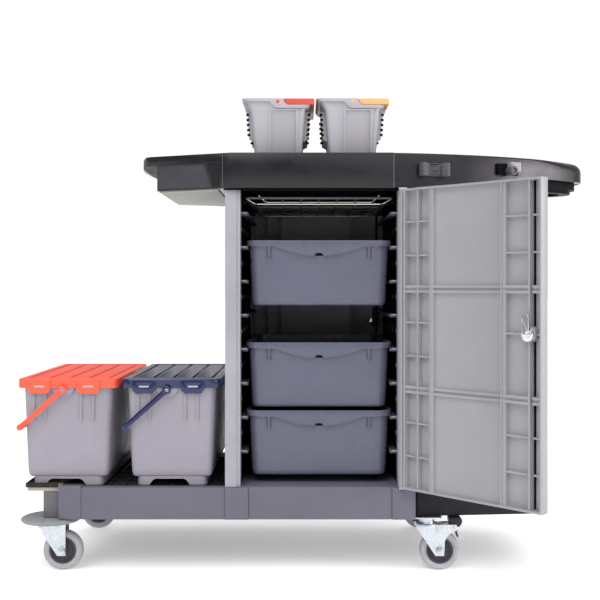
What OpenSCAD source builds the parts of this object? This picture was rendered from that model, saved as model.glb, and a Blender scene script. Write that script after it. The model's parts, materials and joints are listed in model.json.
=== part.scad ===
// Housekeeping cart with a drawer cabinet, two lidded mop boxes, a waste bag holder and two hand buckets.
// Millimetres, +Z up, +X towards the bag holder, -Y towards the cabinet's front door.
// The modules draw in the cart's own layout, where X = 0 lies under the left hand bucket;
// place() then moves everything so that the origin is under the middle of the whole cart.

/* [Base frame] */
// Half of the base's depth, to the rails' outer faces
base_half = 280; // [260:1:300]
// Underside of the base above the floor
base_bottom = 137; // [130:1:145]
// Top of the rails, where the cabinet and the mop boxes stand
base_top = 217; // [200:1:230]
// Thickness of the two long rails
rail_w = 30; // [20:1:40]
// Left end of the long rails
rail_left = -560; // [-580:1:-540]
// Right end of the long rails
rail_right = 276; // [276:1:290]
// Length of the cast corner blocks at the left end
corner_len = 57; // [50:1:70]
// Width of the end rail that carries the left casters
end_rail_w = 42; // [36:1:50]
// Left edge of the end bracket, under the overhanging mop box
bracket_left = -702; // [-715:1:-690]

/* [Bag platform] */
// Left edge of the platform's body
platform_x0 = 285; // [280:1:295]
// Right end of the platform
platform_x1 = 618; // [560:1:660]
// Top of the platform's rim
platform_top = 205; // [190:1:215]

/* [Casters] */
// Wheel diameter
wheel_d = 100; // [90:1:104]
// Tyre width
tyre_w = 32; // [24:1:34]
// Distance from the swivel axis to the axle, level
trail = 32; // [24:1:36]
// Swivel axis of the left casters
left_kingpin_x = -647; // [-655:1:-640]
// Swivel axis of the right casters
right_kingpin_x = 310; // [300:1:330]
// Distance of the swivel axes from the cart's middle plane
kingpin_y = 228; // [210:1:235]
// Diameter of the bumper discs over the left casters
bumper_d = 150; // [120:1:160]

/* [Cabinet] */
// Left outer face
cab_x0 = -200; // [-210:1:-190]
// Right outer face
cab_x1 = 275; // [270:1:280]
// Top of the cabinet, under the tray
cab_top = 965; // [940:1:990]
// Width of the left posts
post_w = 38; // [30:1:45]
// Depth of the posts
post_depth = 45; // [40:1:60]
// Height of the highest drawer runner
runner_top_z = 908.5; // [890:0.5:915]
// Distance between two runners
runner_pitch = 86.3; // [80:0.1:90]
// Number of runners on each side
runner_count = 8; // [6:1:8]

/* [Doors] */
// Distance from the hinge axis to the free edge
door_w = 415; // [405:1:420]
// Thickness of a door
door_t = 25; // [20:1:26]
// Opening angle of the front door as the cart stands
door_open = 133; // [0:0.5:170]
// Height of the lock
lock_z = 614; // [560:1:660]
// Distance from the hinge axis to the lock
lock_reach = 380; // [370:1:385]

/* [Drawers] */
// Width over the drawer's rim
drawer_rim_w = 371; // [365:1:375]
// Depth over the drawer's rim
drawer_rim_d = 470; // [440:1:480]
// Height of a drawer
drawer_h = 165; // [120:1:170]
// Runners that carry the three drawers, counted from the top
drawer_slots = [1, 4, 6];

/* [Top tray] */
// Height of the tray's top edge
tray_top = 1053; // [1030:1:1060]
// Half depth of the tray beside the cabinet
tray_half = 294; // [290:1:300]
// Left seam between the tray's middle and its basin
seam_left = -204; // [-210:1:-200]
// Right seam between the tray and the bag holder
seam_right = 221; // [215:1:225]
// Radius of the bag holder's curved sides
nose_r = 977; // [970:1:990]

/* [Mop boxes] */
// Middle of the left box
box_left_x = -600; // [-605:1:-598]
// Middle of the right box
box_right_x = -337; // [-345:1:-335]
// Width over the lid
lid_w = 250; // [240:1:252]
// Depth over the lid
lid_d = 526; // [500:1:530]
// Top of the lid
lid_top = 487; // [470:1:500]
// The handle's pivot from the box's middle
pivot_dx = -10; // [-14:1:0]
// Length of the carrying handle's arms
handle_len = 142; // [138:1:146]
// Angle of the resting handle below level
handle_drop = 41.5; // [38:0.5:43]

/* [Hand buckets] */
// Middle of the left bucket
bucket_left_x = -69; // [-75:1:-65]
// Middle of the right bucket
bucket_right_x = 121; // [118:1:124]
// Middle of both buckets, front to back
bucket_y = -115; // [-150:1:0]
// Width over a bucket's rim
bucket_w = 186; // [170:1:186]
// Depth over a bucket's rim
bucket_d = 250; // [230:1:280]
// Top of a bucket's rim
bucket_top = 1198; // [1150:1:1220]

/* [Hidden] */
$fn = 48;
e = 0.01;
run = 0.05; // radial clearance of a running fit
gap = 0.3; // clearance between a moving piece and its neighbour
wall = 3; // wall of the moulded tubs

axle_z = wheel_d / 2;
hub_r = wheel_d / 2 - 16;
fork_top = 117;
fork_in = tyre_w / 2 + 2.5;
fork_t = 3;
axle_r = 6;
kingpin_r = 6;
race_r = 20;
brake_x = 67; // the brake's pivot from the swivel axis
brake_z = 111;
caster_side = [-1, 1];

end_rail_x1 = rail_left - corner_len;
end_rail_x0 = end_rail_x1 - end_rail_w;
end_rail_top = base_top - 12;
foot_w = 58;

cab_mid = (cab_x0 + cab_x1) / 2;
post_in_left = cab_x0 + post_w;
post_in_right = cab_x1 - post_w - 4;
bay_mid = (post_in_left + post_in_right) / 2;
floor_t = 2;
roof_t = 4;
ledge_len = 17.5;
ledge_t = 8;
drawer_y = -10;

hinge_x = cab_mid + 205.5;
hinge_y = -(base_half + 0.5 + door_t / 2);
door_z0 = base_top + floor_t;
door_z1 = cab_top - roof_t;
hinge_pin_r = 4;

tray_floor = tray_top - 50;
rim_z = tray_top - 22;
taper_x = -185; // the tray narrows to the left of here
taper = 0.409;
basin_x0 = -380;
basin_x1 = -212;
nose_cx = 99.4;
nose_cy = 675.1;
nose_tip_x = 661;
nose_tip_r = nose_r - norm([nose_tip_x - nose_cx, nose_cy]);
lid_axis = [229, tray_top - 5.5];

box_foot_z = base_top + 0.5;
box_z0 = 240;
box_rim_z = lid_top - 7.5;
pivot_z = 460;
grip_r = 8;
arm_y = lid_d / 2 + 4.5; // inner face of the handle's arms
arm_t = 5;

bail_z = bucket_top - 8;

// The middle of the standing cart, in the layout's coordinates
cart_x0 = box_left_x - lid_w / 2;
cart_x1 = nose_tip_x + nose_tip_r;
cart_y0 = hinge_y - door_w * sin(door_open) - door_t / 2 * abs(cos(door_open));
cart_y1 = -hinge_y + door_t / 2 + 3;
mid_x = (cart_x0 + cart_x1) / 2;
mid_y = (cart_y0 + cart_y1) / 2;

// ---- shared shapes ----

function arc_pts(cx, cy, r, a0, a1, n) =
    [for (i = [0:n]) let (a = a0 + (a1 - a0) * i / n) [cx + r * cos(a), cy + r * sin(a)]];

// A rounded rectangle, w by d, counter-clockwise
function round_rect(w, d, r, n = 4) = concat(
    arc_pts(w / 2 - r, d / 2 - r, r, 0, 90, n), arc_pts(r - w / 2, d / 2 - r, r, 90, 180, n),
    arc_pts(r - w / 2, r - d / 2, r, 180, 270, n), arc_pts(w / 2 - r, r - d / 2, r, 270, 360, n));

// One closed skin through rounded rectangles, each [w, d, r, z]: up the outside, then down the inside
module loft(rings, n = 4) {
    k = 4 * (n + 1);
    last = (len(rings) - 1) * k;
    points = [for (q = rings) for (p = round_rect(q[0], q[1], q[2], n)) [p[0], p[1], q[3]]];
    sides = [for (i = [0:len(rings) - 2]) for (j = [0:k - 1])
        let (a = i * k + j, b = i * k + (j + 1) % k) each [[a, b + k, b], [a, a + k, b + k]]];
    polyhedron(points, concat([[for (j = [0:k - 1]) j]], sides, [[for (j = [k - 1:-1:0]) last + j]]));
}

module block(x, y, z) {
    translate([x[0], y[0], z[0]]) cube([x[1] - x[0], y[1] - y[0], z[1] - z[0]]);
}

// The same block at the front and at the back
module both_sides(x, y, z) {
    for (s = [0, 1]) mirror([0, s, 0]) block(x, y, z);
}

// A rod along Y, from y0 to y1
module rod_y(x, z, r, y0, y1) {
    translate([x, y0, z]) rotate([-90, 0, 0]) cylinder(r = r, h = y1 - y0);
}

// ---- base frame ----

// C-shaped rails, open to the inside, notched for the post feet
module side_rails() {
    color([0.46, 0.46, 0.50]) for (s = [0, 1]) mirror([0, s, 0]) difference() {
        block([rail_left, rail_right], [-base_half, -base_half + rail_w], [base_bottom, base_top]);
        block([rail_left + 6, rail_right - 6], [-base_half + 14, -base_half + rail_w + 1],
            [base_bottom + 5, base_top - 5]);
        for (x = [cab_x0, rail_right - foot_w])
            block([x, x + foot_w + e], [-base_half - 1, -base_half + 8], [base_bottom - 1, base_top + 1]);
    }
}

module end_rail() {
    color([0.37, 0.37, 0.40])
        block([end_rail_x0, end_rail_x1], [-262, 262], [base_bottom, end_rail_top]);
}

module corner_blocks() {
    color([0.46, 0.46, 0.50]) for (s = [0, 1]) mirror([0, s, 0]) union() {
        block([end_rail_x1, rail_left], [-base_half - 1, -200], [base_bottom, base_top]);
        block([end_rail_x1, rail_left], [-base_half - 1, -262], [base_top - e, base_top + 4]);
    }
}

module post_feet() {
    color([0.46, 0.46, 0.50]) for (x = [cab_x0, rail_right - foot_w])
        both_sides([x, x + foot_w], [-base_half - 3, -base_half + 8], [base_bottom, base_top]);
}

// A ribbed plate flush with the rails' tops
module bay_floor() {
    color([0.14, 0.14, 0.15]) union() {
        block([end_rail_x1, rail_left + e], [-200, 200], [base_top - 14, base_top - 8]);
        block([rail_left, cab_x0], [-base_half + rail_w, base_half - rail_w],
            [base_top - 14, base_top - 8]);
        for (x = [rail_left + 20:40:cab_x0 - 20])
            block([x, x + 4], [-base_half + rail_w, base_half - rail_w], [base_top - 8 - e, base_top]);
        for (y = [-200:50:200])
            block([rail_left, cab_x0], [y - 2, y + 2], [base_top - 8 - e, base_top - 1]);
    }
}

module end_bracket() {
    color([0.69, 0.65, 0.60])
        block([bracket_left + 4, end_rail_x1], [-262, 262], [end_rail_top, base_top]);
}

// Raised rim round three sides of the end bracket
module end_lip() {
    color([0.10, 0.10, 0.11]) union() {
        both_sides([bracket_left, end_rail_x1 - 3], [-270, -262], [base_top - 2, base_top + 10]);
        block([bracket_left, bracket_left + 4], [-270, 270], [base_top - 2, base_top + 10]);
    }
}

function platform_pts(inset) = let (r = 22, x = platform_x1 - inset - r, y = 213 - inset - r) concat(
    [[platform_x0 + inset, inset - 243]], arc_pts(x, -y, r, -90, 0, 5), arc_pts(x, y, r, 0, 90, 5),
    [[platform_x0 + inset, 243 - inset]]);

// Carries the foot of the waste bag
module bag_platform() {
    color([0.19, 0.19, 0.21]) difference() {
        union() {
            translate([0, 0, base_bottom]) linear_extrude(platform_top - base_bottom)
                polygon(platform_pts(0));
            block([235, platform_x0 + e], [-240, 240], [base_bottom + 6, platform_top - 4]);
        }
        translate([0, 0, platform_top - 18]) linear_extrude(20) polygon(platform_pts(12));
        block([platform_x0 + 75, platform_x1 - 18], [-180, 180], [base_bottom - 1, platform_top - 26]);
    }
}

// ---- cabinet ----

module cabinet_floor() {
    color([0.46, 0.46, 0.50])
        block([cab_x0, cab_x1], [-base_half, base_half], [base_top, base_top + floor_t]);
}

module cabinet_roof() {
    color([0.20, 0.20, 0.22])
        block([cab_x0, cab_x1], [-base_half, base_half], [cab_top - roof_t, cab_top]);
}

// Slot in the post behind which the lock's cam turns
module cam_slot() {
    block([post_in_left - 24, post_in_left + 1], [hinge_y + 19.5, hinge_y + 24.5], [lock_z - 12, lock_z + 47]);
}

// Four posts; the two that face a lock are slotted
module cabinet_posts() {
    color([0.72, 0.72, 0.75]) {
        for (turn = [0, 180]) translate([cab_mid, 0, 0]) rotate([0, 0, turn]) translate([-cab_mid, 0, 0])
            difference() {
                block([cab_x0, post_in_left], [-base_half, -base_half + post_depth], [door_z0, door_z1]);
                block([post_in_left - 9, post_in_left + 1], [-base_half - 1, -base_half + 3.5],
                    [door_z0 - 1, door_z1 + 1]);
                cam_slot();
            }
        for (s = [0, 1]) translate([cab_mid, 0, 0]) rotate([0, 0, 180 * s]) translate([-cab_mid, 0, 0])
            block([post_in_right, cab_x1], [-base_half, -base_half + post_depth], [door_z0, door_z1]);
    }
}

module cabinet_skins() {
    y = base_half - post_depth;
    color([0.70, 0.70, 0.73]) {
        block([cab_x0 + 2, cab_x0 + 7], [-y, y], [door_z0, door_z1]);
        block([cab_x1 - 7, cab_x1 - 2], [-y, y], [door_z0, door_z1]);
    }
}

module runner_panels() {
    y = base_half - post_depth;
    color([0.20, 0.20, 0.22]) {
        block([post_in_left - 4, post_in_left], [-y, y], [door_z0, door_z1]);
        block([post_in_right, post_in_right + 4], [-y, y], [door_z0, door_z1]);
    }
}

function runner_z(k) = runner_top_z - runner_pitch * k;

// Ledges that the drawers' rims slide on
module drawer_runners() {
    color([0.30, 0.30, 0.33]) for (k = [0:runner_count - 1]) {
        block([post_in_left, post_in_left + ledge_len], [-240, 235], [runner_z(k) - ledge_t, runner_z(k)]);
        block([post_in_right - ledge_len, post_in_right], [-240, 235], [runner_z(k) - ledge_t, runner_z(k)]);
    }
}

module shelf_brackets() {
    color([0.12, 0.12, 0.13]) for (s = [0, 1]) translate([bay_mid, 0, 0]) mirror([s, 0, 0]) {
        w = post_in_right - bay_mid;
        block([w - 14.6, w], [-240, 235], [runner_z(0) + 22, runner_z(0) + 30]);
    }
}

// A tab with a pin on it, at the foot or the head of a door
module hinge_pin(z_tab, z_pin) {
    translate([hinge_x, hinge_y, 0]) {
        block([-10, 10], [-10, door_t / 2 + 0.5], z_tab);
        translate([0, 0, z_pin[0]]) cylinder(r = hinge_pin_r, h = z_pin[1] - z_pin[0]);
    }
}

// Pins of both doors and the rod of the bag lid
module hinge_pins() {
    color([0.75, 0.76, 0.78]) {
        for (turn = [0, 180])
            translate([cab_mid, 0, 0]) rotate([0, 0, turn]) translate([-cab_mid, 0, 0]) {
                union() hinge_pin([base_top + 0.1, door_z0 - gap], [base_top + 0.1, door_z0 + 22]);
                union() hinge_pin([door_z1 + gap, cab_top - 0.1], [door_z1 - 22, cab_top - 0.1]);
            }
        rod_y(lid_axis[0], lid_axis[1], 3, -238, 238);
    }
}

// ---- top tray and bag holder ----

// Half depth of the tray at x
function tray_h(x) = tray_half - max(0, taper_x - x) * taper;

// Outline of the tray: level sides, tapering sides and a bowed left end
function tray_pts(x0) = concat(
    [[seam_right, -tray_half], [taper_x, -tray_half], [x0 + 12, -tray_h(x0)]],
    [for (i = [-5:5]) let (y = 38 * i) [x0 - 30 + y * y / 1203, y]],
    [[x0 + 12, tray_h(x0)], [taper_x, tray_half], [seam_right, tray_half]]);

function basin_pts(inset) = [
    [basin_x1 - inset, 8 + inset - tray_h(basin_x1)], [basin_x1 - inset, tray_h(basin_x1) - 8 - inset],
    [basin_x0 + inset, tray_h(basin_x0) - 8 - inset], [basin_x0 + inset, 8 + inset - tray_h(basin_x0)]];

function middle_pts(inset, x0) = [
    [seam_right - inset, inset - tray_half], [seam_right - inset, tray_half - inset],
    [taper_x, tray_half - inset], [x0, tray_h(x0) - inset], [x0, inset - tray_h(x0)],
    [taper_x, inset - tray_half]];

module slab(z0, z1) {
    translate([0, 0, z0]) linear_extrude(z1 - z0) children();
}

// One moulding: a deep basin at the left and a shallow floor over the cabinet
module top_tray() {
    color([0.20, 0.19, 0.21]) difference() {
        union() {
            slab(rim_z, tray_top) polygon(tray_pts(-410));
            slab(cab_top, rim_z + e) polygon(middle_pts(0, basin_x1 - e));
            slab(cab_top, rim_z + e) polygon(basin_pts(0));
            both_sides([seam_right - e, lid_axis[0] + 6], [-236, -228], [tray_top - 16, tray_top]);
        }
        slab(tray_floor, tray_top + 1) polygon(middle_pts(6, basin_x1 + 6));
        difference() {
            slab(cab_top - 1, tray_floor - 6) polygon(middle_pts(6, basin_x1 + 6));
            both_sides([cab_x0, seam_right], [-206, -200], [cab_top, tray_floor]);
        }
        slab(cab_top + 4, tray_top + 1) polygon(basin_pts(4));
        rod_y(lid_axis[0], lid_axis[1], 3, -238, 238);
    }
}

// Pale sheet that closes the basin from below
module tray_under_panel() {
    color([0.63, 0.63, 0.60]) slab(cab_top - 4, cab_top) polygon(basin_pts(6));
}

// A blunt arch in plan: two arcs that end just short of a circle at the nose
module nose_outline(inset, x0) {
    touch_x = nose_cx + (nose_tip_x - nose_cx) * (nose_r - inset) / (nose_r - nose_tip_r) - 3;
    intersection() {
        translate([nose_cx, nose_cy]) circle(r = nose_r - inset, $fn = 180);
        translate([nose_cx, -nose_cy]) circle(r = nose_r - inset, $fn = 180);
        translate([x0, -400]) square([touch_x - x0, 800]);
    }
    translate([nose_tip_x, 0]) circle(r = nose_tip_r - inset, $fn = 96);
}

module nose_slab(z0, z1, inset, x0) {
    slab(z0, z1) nose_outline(inset, x0);
}

// Fascia of the bag holder; its lower edge rises towards the nose
module bag_ring() {
    color([0.24, 0.22, 0.25]) difference() {
        nose_slab(cab_top, tray_top, 0, seam_right);
        nose_slab(tray_floor + 5, tray_top + 1, 6, seam_right + 6);
        nose_slab(cab_top - 1, tray_top + 1, 57, seam_right + 24);
        nose_slab(cab_top - 1, tray_floor, 6, seam_right + 6);
        translate([0, 400, 0]) rotate([90, 0, 0]) linear_extrude(800)
            polygon([[seam_right + 30, cab_top - 5], [seam_right + 30, cab_top],
                [640, tray_floor - 2], [800, tray_floor - 2], [800, cab_top - 5]]);
        block([lid_axis[0] - 8, lid_axis[0] + 8], [-242, 242], [tray_top - 18, tray_top + 1]);
    }
}

// Stepped ring that the bag's mouth is folded over
module bag_clamp_ring() {
    color([0.12, 0.12, 0.13]) difference() {
        union() {
            nose_slab(tray_floor - 21, tray_floor, 17, seam_right + 7);
            nose_slab(tray_floor - 31, tray_floor - 21 + e, 29, seam_right + 10);
        }
        nose_slab(tray_floor - 40, tray_floor + 1, 57, seam_right + 24);
    }
}

// Hinged lid over the bag holder, with a lip to lift it by
module bag_lid() {
    color([0.20, 0.19, 0.21]) difference() {
        union() {
            nose_slab(tray_top - 5, tray_top, 7.5, lid_axis[0]);
            nose_slab(tray_top - 14, tray_top - 5 + e, 20, lid_axis[0] + 30);
            rod_y(lid_axis[0], lid_axis[1], 5.5, -225, 225);
        }
        nose_slab(tray_top - 15, tray_top - 5, 24, lid_axis[0] + 34);
        rod_y(lid_axis[0], lid_axis[1], 3 + run, -226, 226);
        both_sides([lid_axis[0] - 1, lid_axis[0] + 10], [-300, -225], [tray_top - 20, tray_top + 1]);
    }
}

// Snap clip for a mop handle: its mouth faces away from the fascia
module tool_clip(x, z) {
    y = nose_cy - sqrt(pow(nose_r, 2) - pow(x - nose_cx, 2));
    turn = atan((x - nose_cx) / (nose_cy - y));
    translate([x, y, z]) rotate([0, 0, turn]) difference() {
        union() {
            block([-37, 37], [-6, -0.05], [0, 32]);
            translate([0, -18, 0]) cylinder(r = 21, h = 32);
            block([-37, -24], [-26, -5], [0, 32]);
            block([24, 37], [-26, -5], [0, 32]);
            block([-37, 37], [-10, -5], [0, 32]);
        }
        block([-40, 40], [-0.05, 10], [-1, 33]);
        translate([0, -20, -1]) cylinder(r = 16, h = 34);
        block([-11, 11], [-45, -20], [-1, 33]);
        block([-40, 40], [-60, -30], [-1, 33]);
    }
}

module tool_clip_front() {
    color([0.35, 0.35, 0.38]) tool_clip(320, tray_top - 58);
}

module tool_clip_side() {
    color([0.55, 0.54, 0.57]) tool_clip(517, tray_top - 48);
}

// ---- casters ----

// Fixed top part of each caster: plate, race and kingpin
module caster_plates() {
    color([0.70, 0.71, 0.72]) for (s = caster_side) {
        translate([right_kingpin_x, s * kingpin_y, 0]) union() {
            block([-36, 36], [-30, 30], [base_bottom - 4, base_bottom]);
            translate([0, 0, fork_top + gap]) cylinder(r = race_r, h = base_bottom - fork_top - gap);
            kingpin();
        }
        translate([left_kingpin_x, s * kingpin_y, 0]) union() {
            translate([0, 0, fork_top + gap]) cylinder(r = race_r, h = base_bottom - fork_top - gap);
            translate([0, 0, fork_top + gap]) cylinder(r = 26, h = 5.4);
            kingpin();
        }
    }
}

module kingpin() {
    translate([0, 0, 101]) cylinder(r = kingpin_r, h = 25);
    translate([0, 0, 101]) cylinder(r = 10, h = 4.7);
}

// Pressed steel fork with its axle bolt; the braked one has ears for the pedal's pin
module fork(x, y, braked) {
    ax = trail;
    side = braked
        ? [[-29, fork_top], [-29, fork_top - 6], [ax - 12, 38], [ax + 10, 38], [ax + 12, 76], [ax + 22, 92],
            [brake_x + 7, 103], [brake_x + 7, fork_top]]
        : [[-29, fork_top], [-29, fork_top - 6], [ax - 12, 38], [ax + 9, 38], [ax + 9, fork_top]];
    color([0.80, 0.82, 0.84]) translate([x, y, 0]) {
        difference() {
            union() {
                translate([0, 0, fork_top - 11]) cylinder(r = 28, h = 11);
                for (s = caster_side) translate([0, s * (fork_in + fork_t / 2) + fork_t / 2, 0])
                    rotate([90, 0, 0]) linear_extrude(fork_t) polygon(side);
            }
            translate([0, 0, fork_top - 12]) cylinder(r = kingpin_r + run, h = 14);
            rod_y(ax, axle_z, axle_r + run, -30, 30);
            if (braked) rod_y(brake_x, brake_z, 3 + run, -30, 30);
        }
        union() {
            rod_y(ax, axle_z, axle_r, -fork_in - 6, fork_in + 6);
            for (s = caster_side) translate([ax, s * (fork_in + fork_t + 2.6) + 2.5, axle_z])
                rotate([90, 0, 0]) cylinder(r = 9, h = 5, $fn = 6);
        }
    }
}

module hub(x, y) {
    color([0.24, 0.24, 0.26]) translate([x + trail, y, axle_z]) rotate([90, 0, 0]) rotate_extrude()
        polygon([[axle_r + run, -fork_in + 1], [14, -fork_in + 1], [16, -8], [hub_r - 5, -8],
            [hub_r - 2, -12], [hub_r, -12], [hub_r, 12], [hub_r - 2, 12], [hub_r - 5, 8], [16, 8],
            [14, fork_in - 1], [axle_r + run, fork_in - 1]]);
}

module tyre(x, y) {
    r = wheel_d / 2;
    w = tyre_w / 2;
    color([0.62, 0.62, 0.64]) translate([x + trail, y, axle_z]) rotate([90, 0, 0]) rotate_extrude()
        polygon([[hub_r, -12], [hub_r, 12], [hub_r + 3, 15], [r - 6, w], [r - 1.5, w - 5], [r, w - 10],
            [r, 10 - w], [r - 1.5, 5 - w], [r - 6, -w], [hub_r + 3, -15]]);
}

// Pedal, release paddle and shoe on one pin
module brake(y) {
    color([0.13, 0.13, 0.14]) translate([right_kingpin_x, y, 0]) union() {
        rod_y(brake_x, brake_z, 3, -fork_in - 5, fork_in + 5);
        rod_y(brake_x, brake_z, 7, -15, 15);
        block([brake_x - 5, brake_x + 14], [-14, 14], [brake_z, 122]);
        block([brake_x - 12, brake_x + 21], [-20, 20], [121, 134]);
        translate([brake_x, 0, brake_z]) rotate([0, 52, 0]) block([3, 50], [-14, 14], [-2.5, 2.5]);
        translate([brake_x, 0, brake_z]) rotate([0, 74, 0]) block([3, 30], [-12, 12], [1, 5]);
    }
}

module bumper(y) {
    r = bumper_d / 2;
    z0 = fork_top + 6.3;
    z1 = base_bottom - gap;
    color([0.52, 0.54, 0.54]) translate([left_kingpin_x, y, 0]) rotate_extrude($fn = 96)
        polygon([[race_r + run, z0], [r - 6, z0], [r, z0 + 5], [r, z1 - 5], [r - 7, z1], [race_r + run, z1]]);
}

// ---- doors ----

// Puts a piece drawn at the hinge axis, closed, where the front door stands
module on_front_door() {
    translate([hinge_x, hinge_y, 0]) rotate([0, 0, door_open]) children();
}

// The rear door is the front door turned half round the cabinet's middle, closed
module on_rear_door() {
    translate([2 * cab_mid - hinge_x, -hinge_y, 0]) rotate([0, 0, 180]) children();
}

// A ribbed moulding: one skin outside, three by three shallow pockets inside
module door_leaf() {
    t = door_t / 2;
    columns = [[20, 97], [107, 305], [315, 378]];
    band = (door_z1 - door_z0) / 3;
    color([0.68, 0.67, 0.70]) difference() {
        union() {
            difference() {
                union() {
                    block([-door_w, 0], [-t, t], [door_z0, door_z1]);
                    translate([0, 0, door_z0]) cylinder(r = t, h = door_z1 - door_z0);
                }
                for (c = columns) for (k = [0:2])
                    block([-c[1], -c[0]], [t - 9, t + 1],
                        [door_z0 + band * k + 6, door_z0 + band * (k + 1) - 6]);
                block([-389, -383], [t - 8, t + 1], [door_z0 + 8, door_z1 - 8]);
            }
            rod_y(-lock_reach, lock_z, 17, -t, t);
        }
        rod_y(-lock_reach, lock_z, 11, -t - 1, t + 1);
        for (z = [door_z0 - 1, door_z1 - 23]) translate([0, 0, z])
            cylinder(r = hinge_pin_r + run, h = 24);
    }
}

module lock_barrel() {
    t = door_t / 2;
    color([0.80, 0.80, 0.82]) difference() {
        union() {
            rod_y(-lock_reach, lock_z, 11, -t, 20);
            rod_y(-lock_reach, lock_z, 14, -t - 3, -t);
            rod_y(-lock_reach, lock_z, 16, t, t + 4);
        }
        rod_y(-lock_reach, lock_z, 5 + run, -t - 1, 21);
    }
}

// The plug and the cam on its inner end; it points up when unlocked
module lock_cam() {
    color([0.84, 0.84, 0.87]) union() {
        rod_y(-lock_reach, lock_z, 5, -door_t / 2 - 0.8, 27);
        rod_y(-lock_reach, lock_z, 9, 20.3, 23.3);
        block([-lock_reach - 9, -lock_reach + 9], [20.3, 23.3], [lock_z, lock_z + 36]);
        rod_y(-lock_reach, lock_z + 36, 9, 20.3, 23.3);
        translate([-lock_reach, 27, lock_z]) rotate([90, 0, 0]) cylinder(r = 7, h = 4, $fn = 6);
    }
}

// ---- drawers and shelf ----

module drawer(k) {
    z1 = runner_z(k) + 0.5 + 14;
    z0 = z1 - drawer_h;
    color([0.43, 0.44, 0.51]) translate([bay_mid, drawer_y, 0]) loft([
        [drawer_rim_w - 30, drawer_rim_d - 29, 20, z0],
        [drawer_rim_w - 16, drawer_rim_d - 15, 24, z1 - 14],
        [drawer_rim_w, drawer_rim_d, 26, z1 - 14],
        [drawer_rim_w, drawer_rim_d, 26, z1],
        [drawer_rim_w - 2 * wall, drawer_rim_d - 2 * wall, 23, z1],
        [drawer_rim_w - 16 - 2 * wall, drawer_rim_d - 15 - 2 * wall, 21, z1 - 11],
        [drawer_rim_w - 30 - 2 * wall, drawer_rim_d - 29 - 2 * wall, 17, z0 + wall]]);
}

// A rod between two points
module wire(a, b, r) {
    d = b - a;
    translate(a) rotate([0, acos(d[2] / norm(d)), atan2(d[1], d[0])]) cylinder(r = r, h = norm(d), $fn = 16);
}

// A closed loop of wire with ball corners
module wire_loop(points, r) {
    n = len(points);
    for (i = [0:n - 1]) {
        wire(points[i], points[(i + 1) % n], r);
        translate(points[i]) sphere(r = r, $fn = 16);
    }
}

// Chromed wire shelf: an upper frame on the brackets and a lower grid
module wire_shelf() {
    z1 = runner_z(0) + 33.7;
    z0 = z1 - 13;
    w1 = 183.5;
    w0 = 161;
    y0 = -240;
    y1 = 225;
    color([0.80, 0.80, 0.78]) translate([bay_mid, 0, 0]) union() {
        wire_loop([[-w1, -262, z1], [w1, -262, z1], [w1, y1, z1], [-w1, y1, z1]], 3);
        wire_loop([[-w0, y0, z0], [w0, y0, z0], [w0, y1 - 5, z0], [-w0, y1 - 5, z0]], 2.5);
        for (y = [y0, -10, y1 - 5]) for (s = [-1, 1]) wire([s * w0, y, z0], [s * w1, y, z1], 2.5);
        for (i = [-3:3]) {
            wire([i * 46, y0, z0], [i * 46, y1 - 5, z0], 1.75);
            wire([i * 46, y0, z0], [i * 46, -262, z1], 1.75);
            wire([i * 46, y1 - 5, z0], [i * 46, y1, z1], 1.75);
        }
    }
}

// ---- mop boxes ----

module mop_box(x) {
    arch_x = -6;
    color([0.69, 0.69, 0.72]) translate([x, 0, 0]) union() {
        loft([[202, 502, 16, box_z0], [224, 508, 20, 466], [230, 512, 22, 468], [230, 512, 22, box_rim_z],
            [224, 506, 19, box_rim_z], [218, 502, 17, 466], [196, 496, 13, box_z0 + 3.5]]);
        difference() {
            slab(box_foot_z, box_z0 + e) polygon(round_rect(176, 490, 15));
            slab(box_foot_z - 1, box_z0 - 4) polygon(round_rect(168, 482, 11));
            block([arch_x - 48, arch_x + 48], [-250, 250], [box_foot_z - 1, box_foot_z + 14]);
        }
        for (s = [0, 1]) mirror([0, s, 0]) {
            rod_y(pivot_dx, pivot_z, 10, -arm_y + gap, -248);
            rod_y(pivot_dx, pivot_z, 5, -arm_y - arm_t, -250);
        }
    }
}

// A hooded lid: flat top, short skirt, two latch tabs on each short side
module box_lid(x, tint) {
    color(tint) translate([x, 0, 0]) difference() {
        union() {
            slab(464, lid_top - 4 + e) polygon(round_rect(lid_w, lid_d, 26));
            slab(lid_top - 4, lid_top) polygon(round_rect(lid_w - 8, lid_d - 8, 22));
            for (t = [-70, 54]) both_sides([t - 29, t + 29], [-lid_d / 2 - 3, -lid_d / 2 + 2], [452, lid_top - 8]);
        }
        slab(463, lid_top - 7) polygon(round_rect(lid_w - 6, lid_d - 6, 23));
        block([pivot_dx - 14, pivot_dx + 14], [-lid_d / 2 - 1, lid_d / 2 + 1], [463, 474]);
        for (t = [-70, 54]) both_sides([t - 29, t + 29], [-lid_d / 2, 4 - lid_d / 2], [451, 464]);
    }
}

// Two flat arms that turn on the box's stubs, and a round grip beside the box's left wall
module box_handle(x, tint) {
    grip_x = pivot_dx - handle_len * cos(handle_drop);
    grip_z = pivot_z - handle_len * sin(handle_drop);
    color(tint) translate([x, 0, 0]) difference() {
        union() {
            for (s = [0, 1]) mirror([0, s, 0]) {
                translate([pivot_dx, -arm_y, pivot_z]) rotate([0, 180 - handle_drop, 0]) rotate([90, 0, 0])
                    linear_extrude(arm_t) translate([0, -7]) square([handle_len, 14]);
                rod_y(pivot_dx, pivot_z, 10, -arm_y - arm_t, -arm_y);
            }
            rod_y(grip_x, grip_z, grip_r, -arm_y - arm_t, arm_y + arm_t);
        }
        rod_y(pivot_dx, pivot_z, 5 + run, -arm_y - arm_t - 1, arm_y + arm_t + 1);
    }
}

// ---- hand buckets ----

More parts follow.
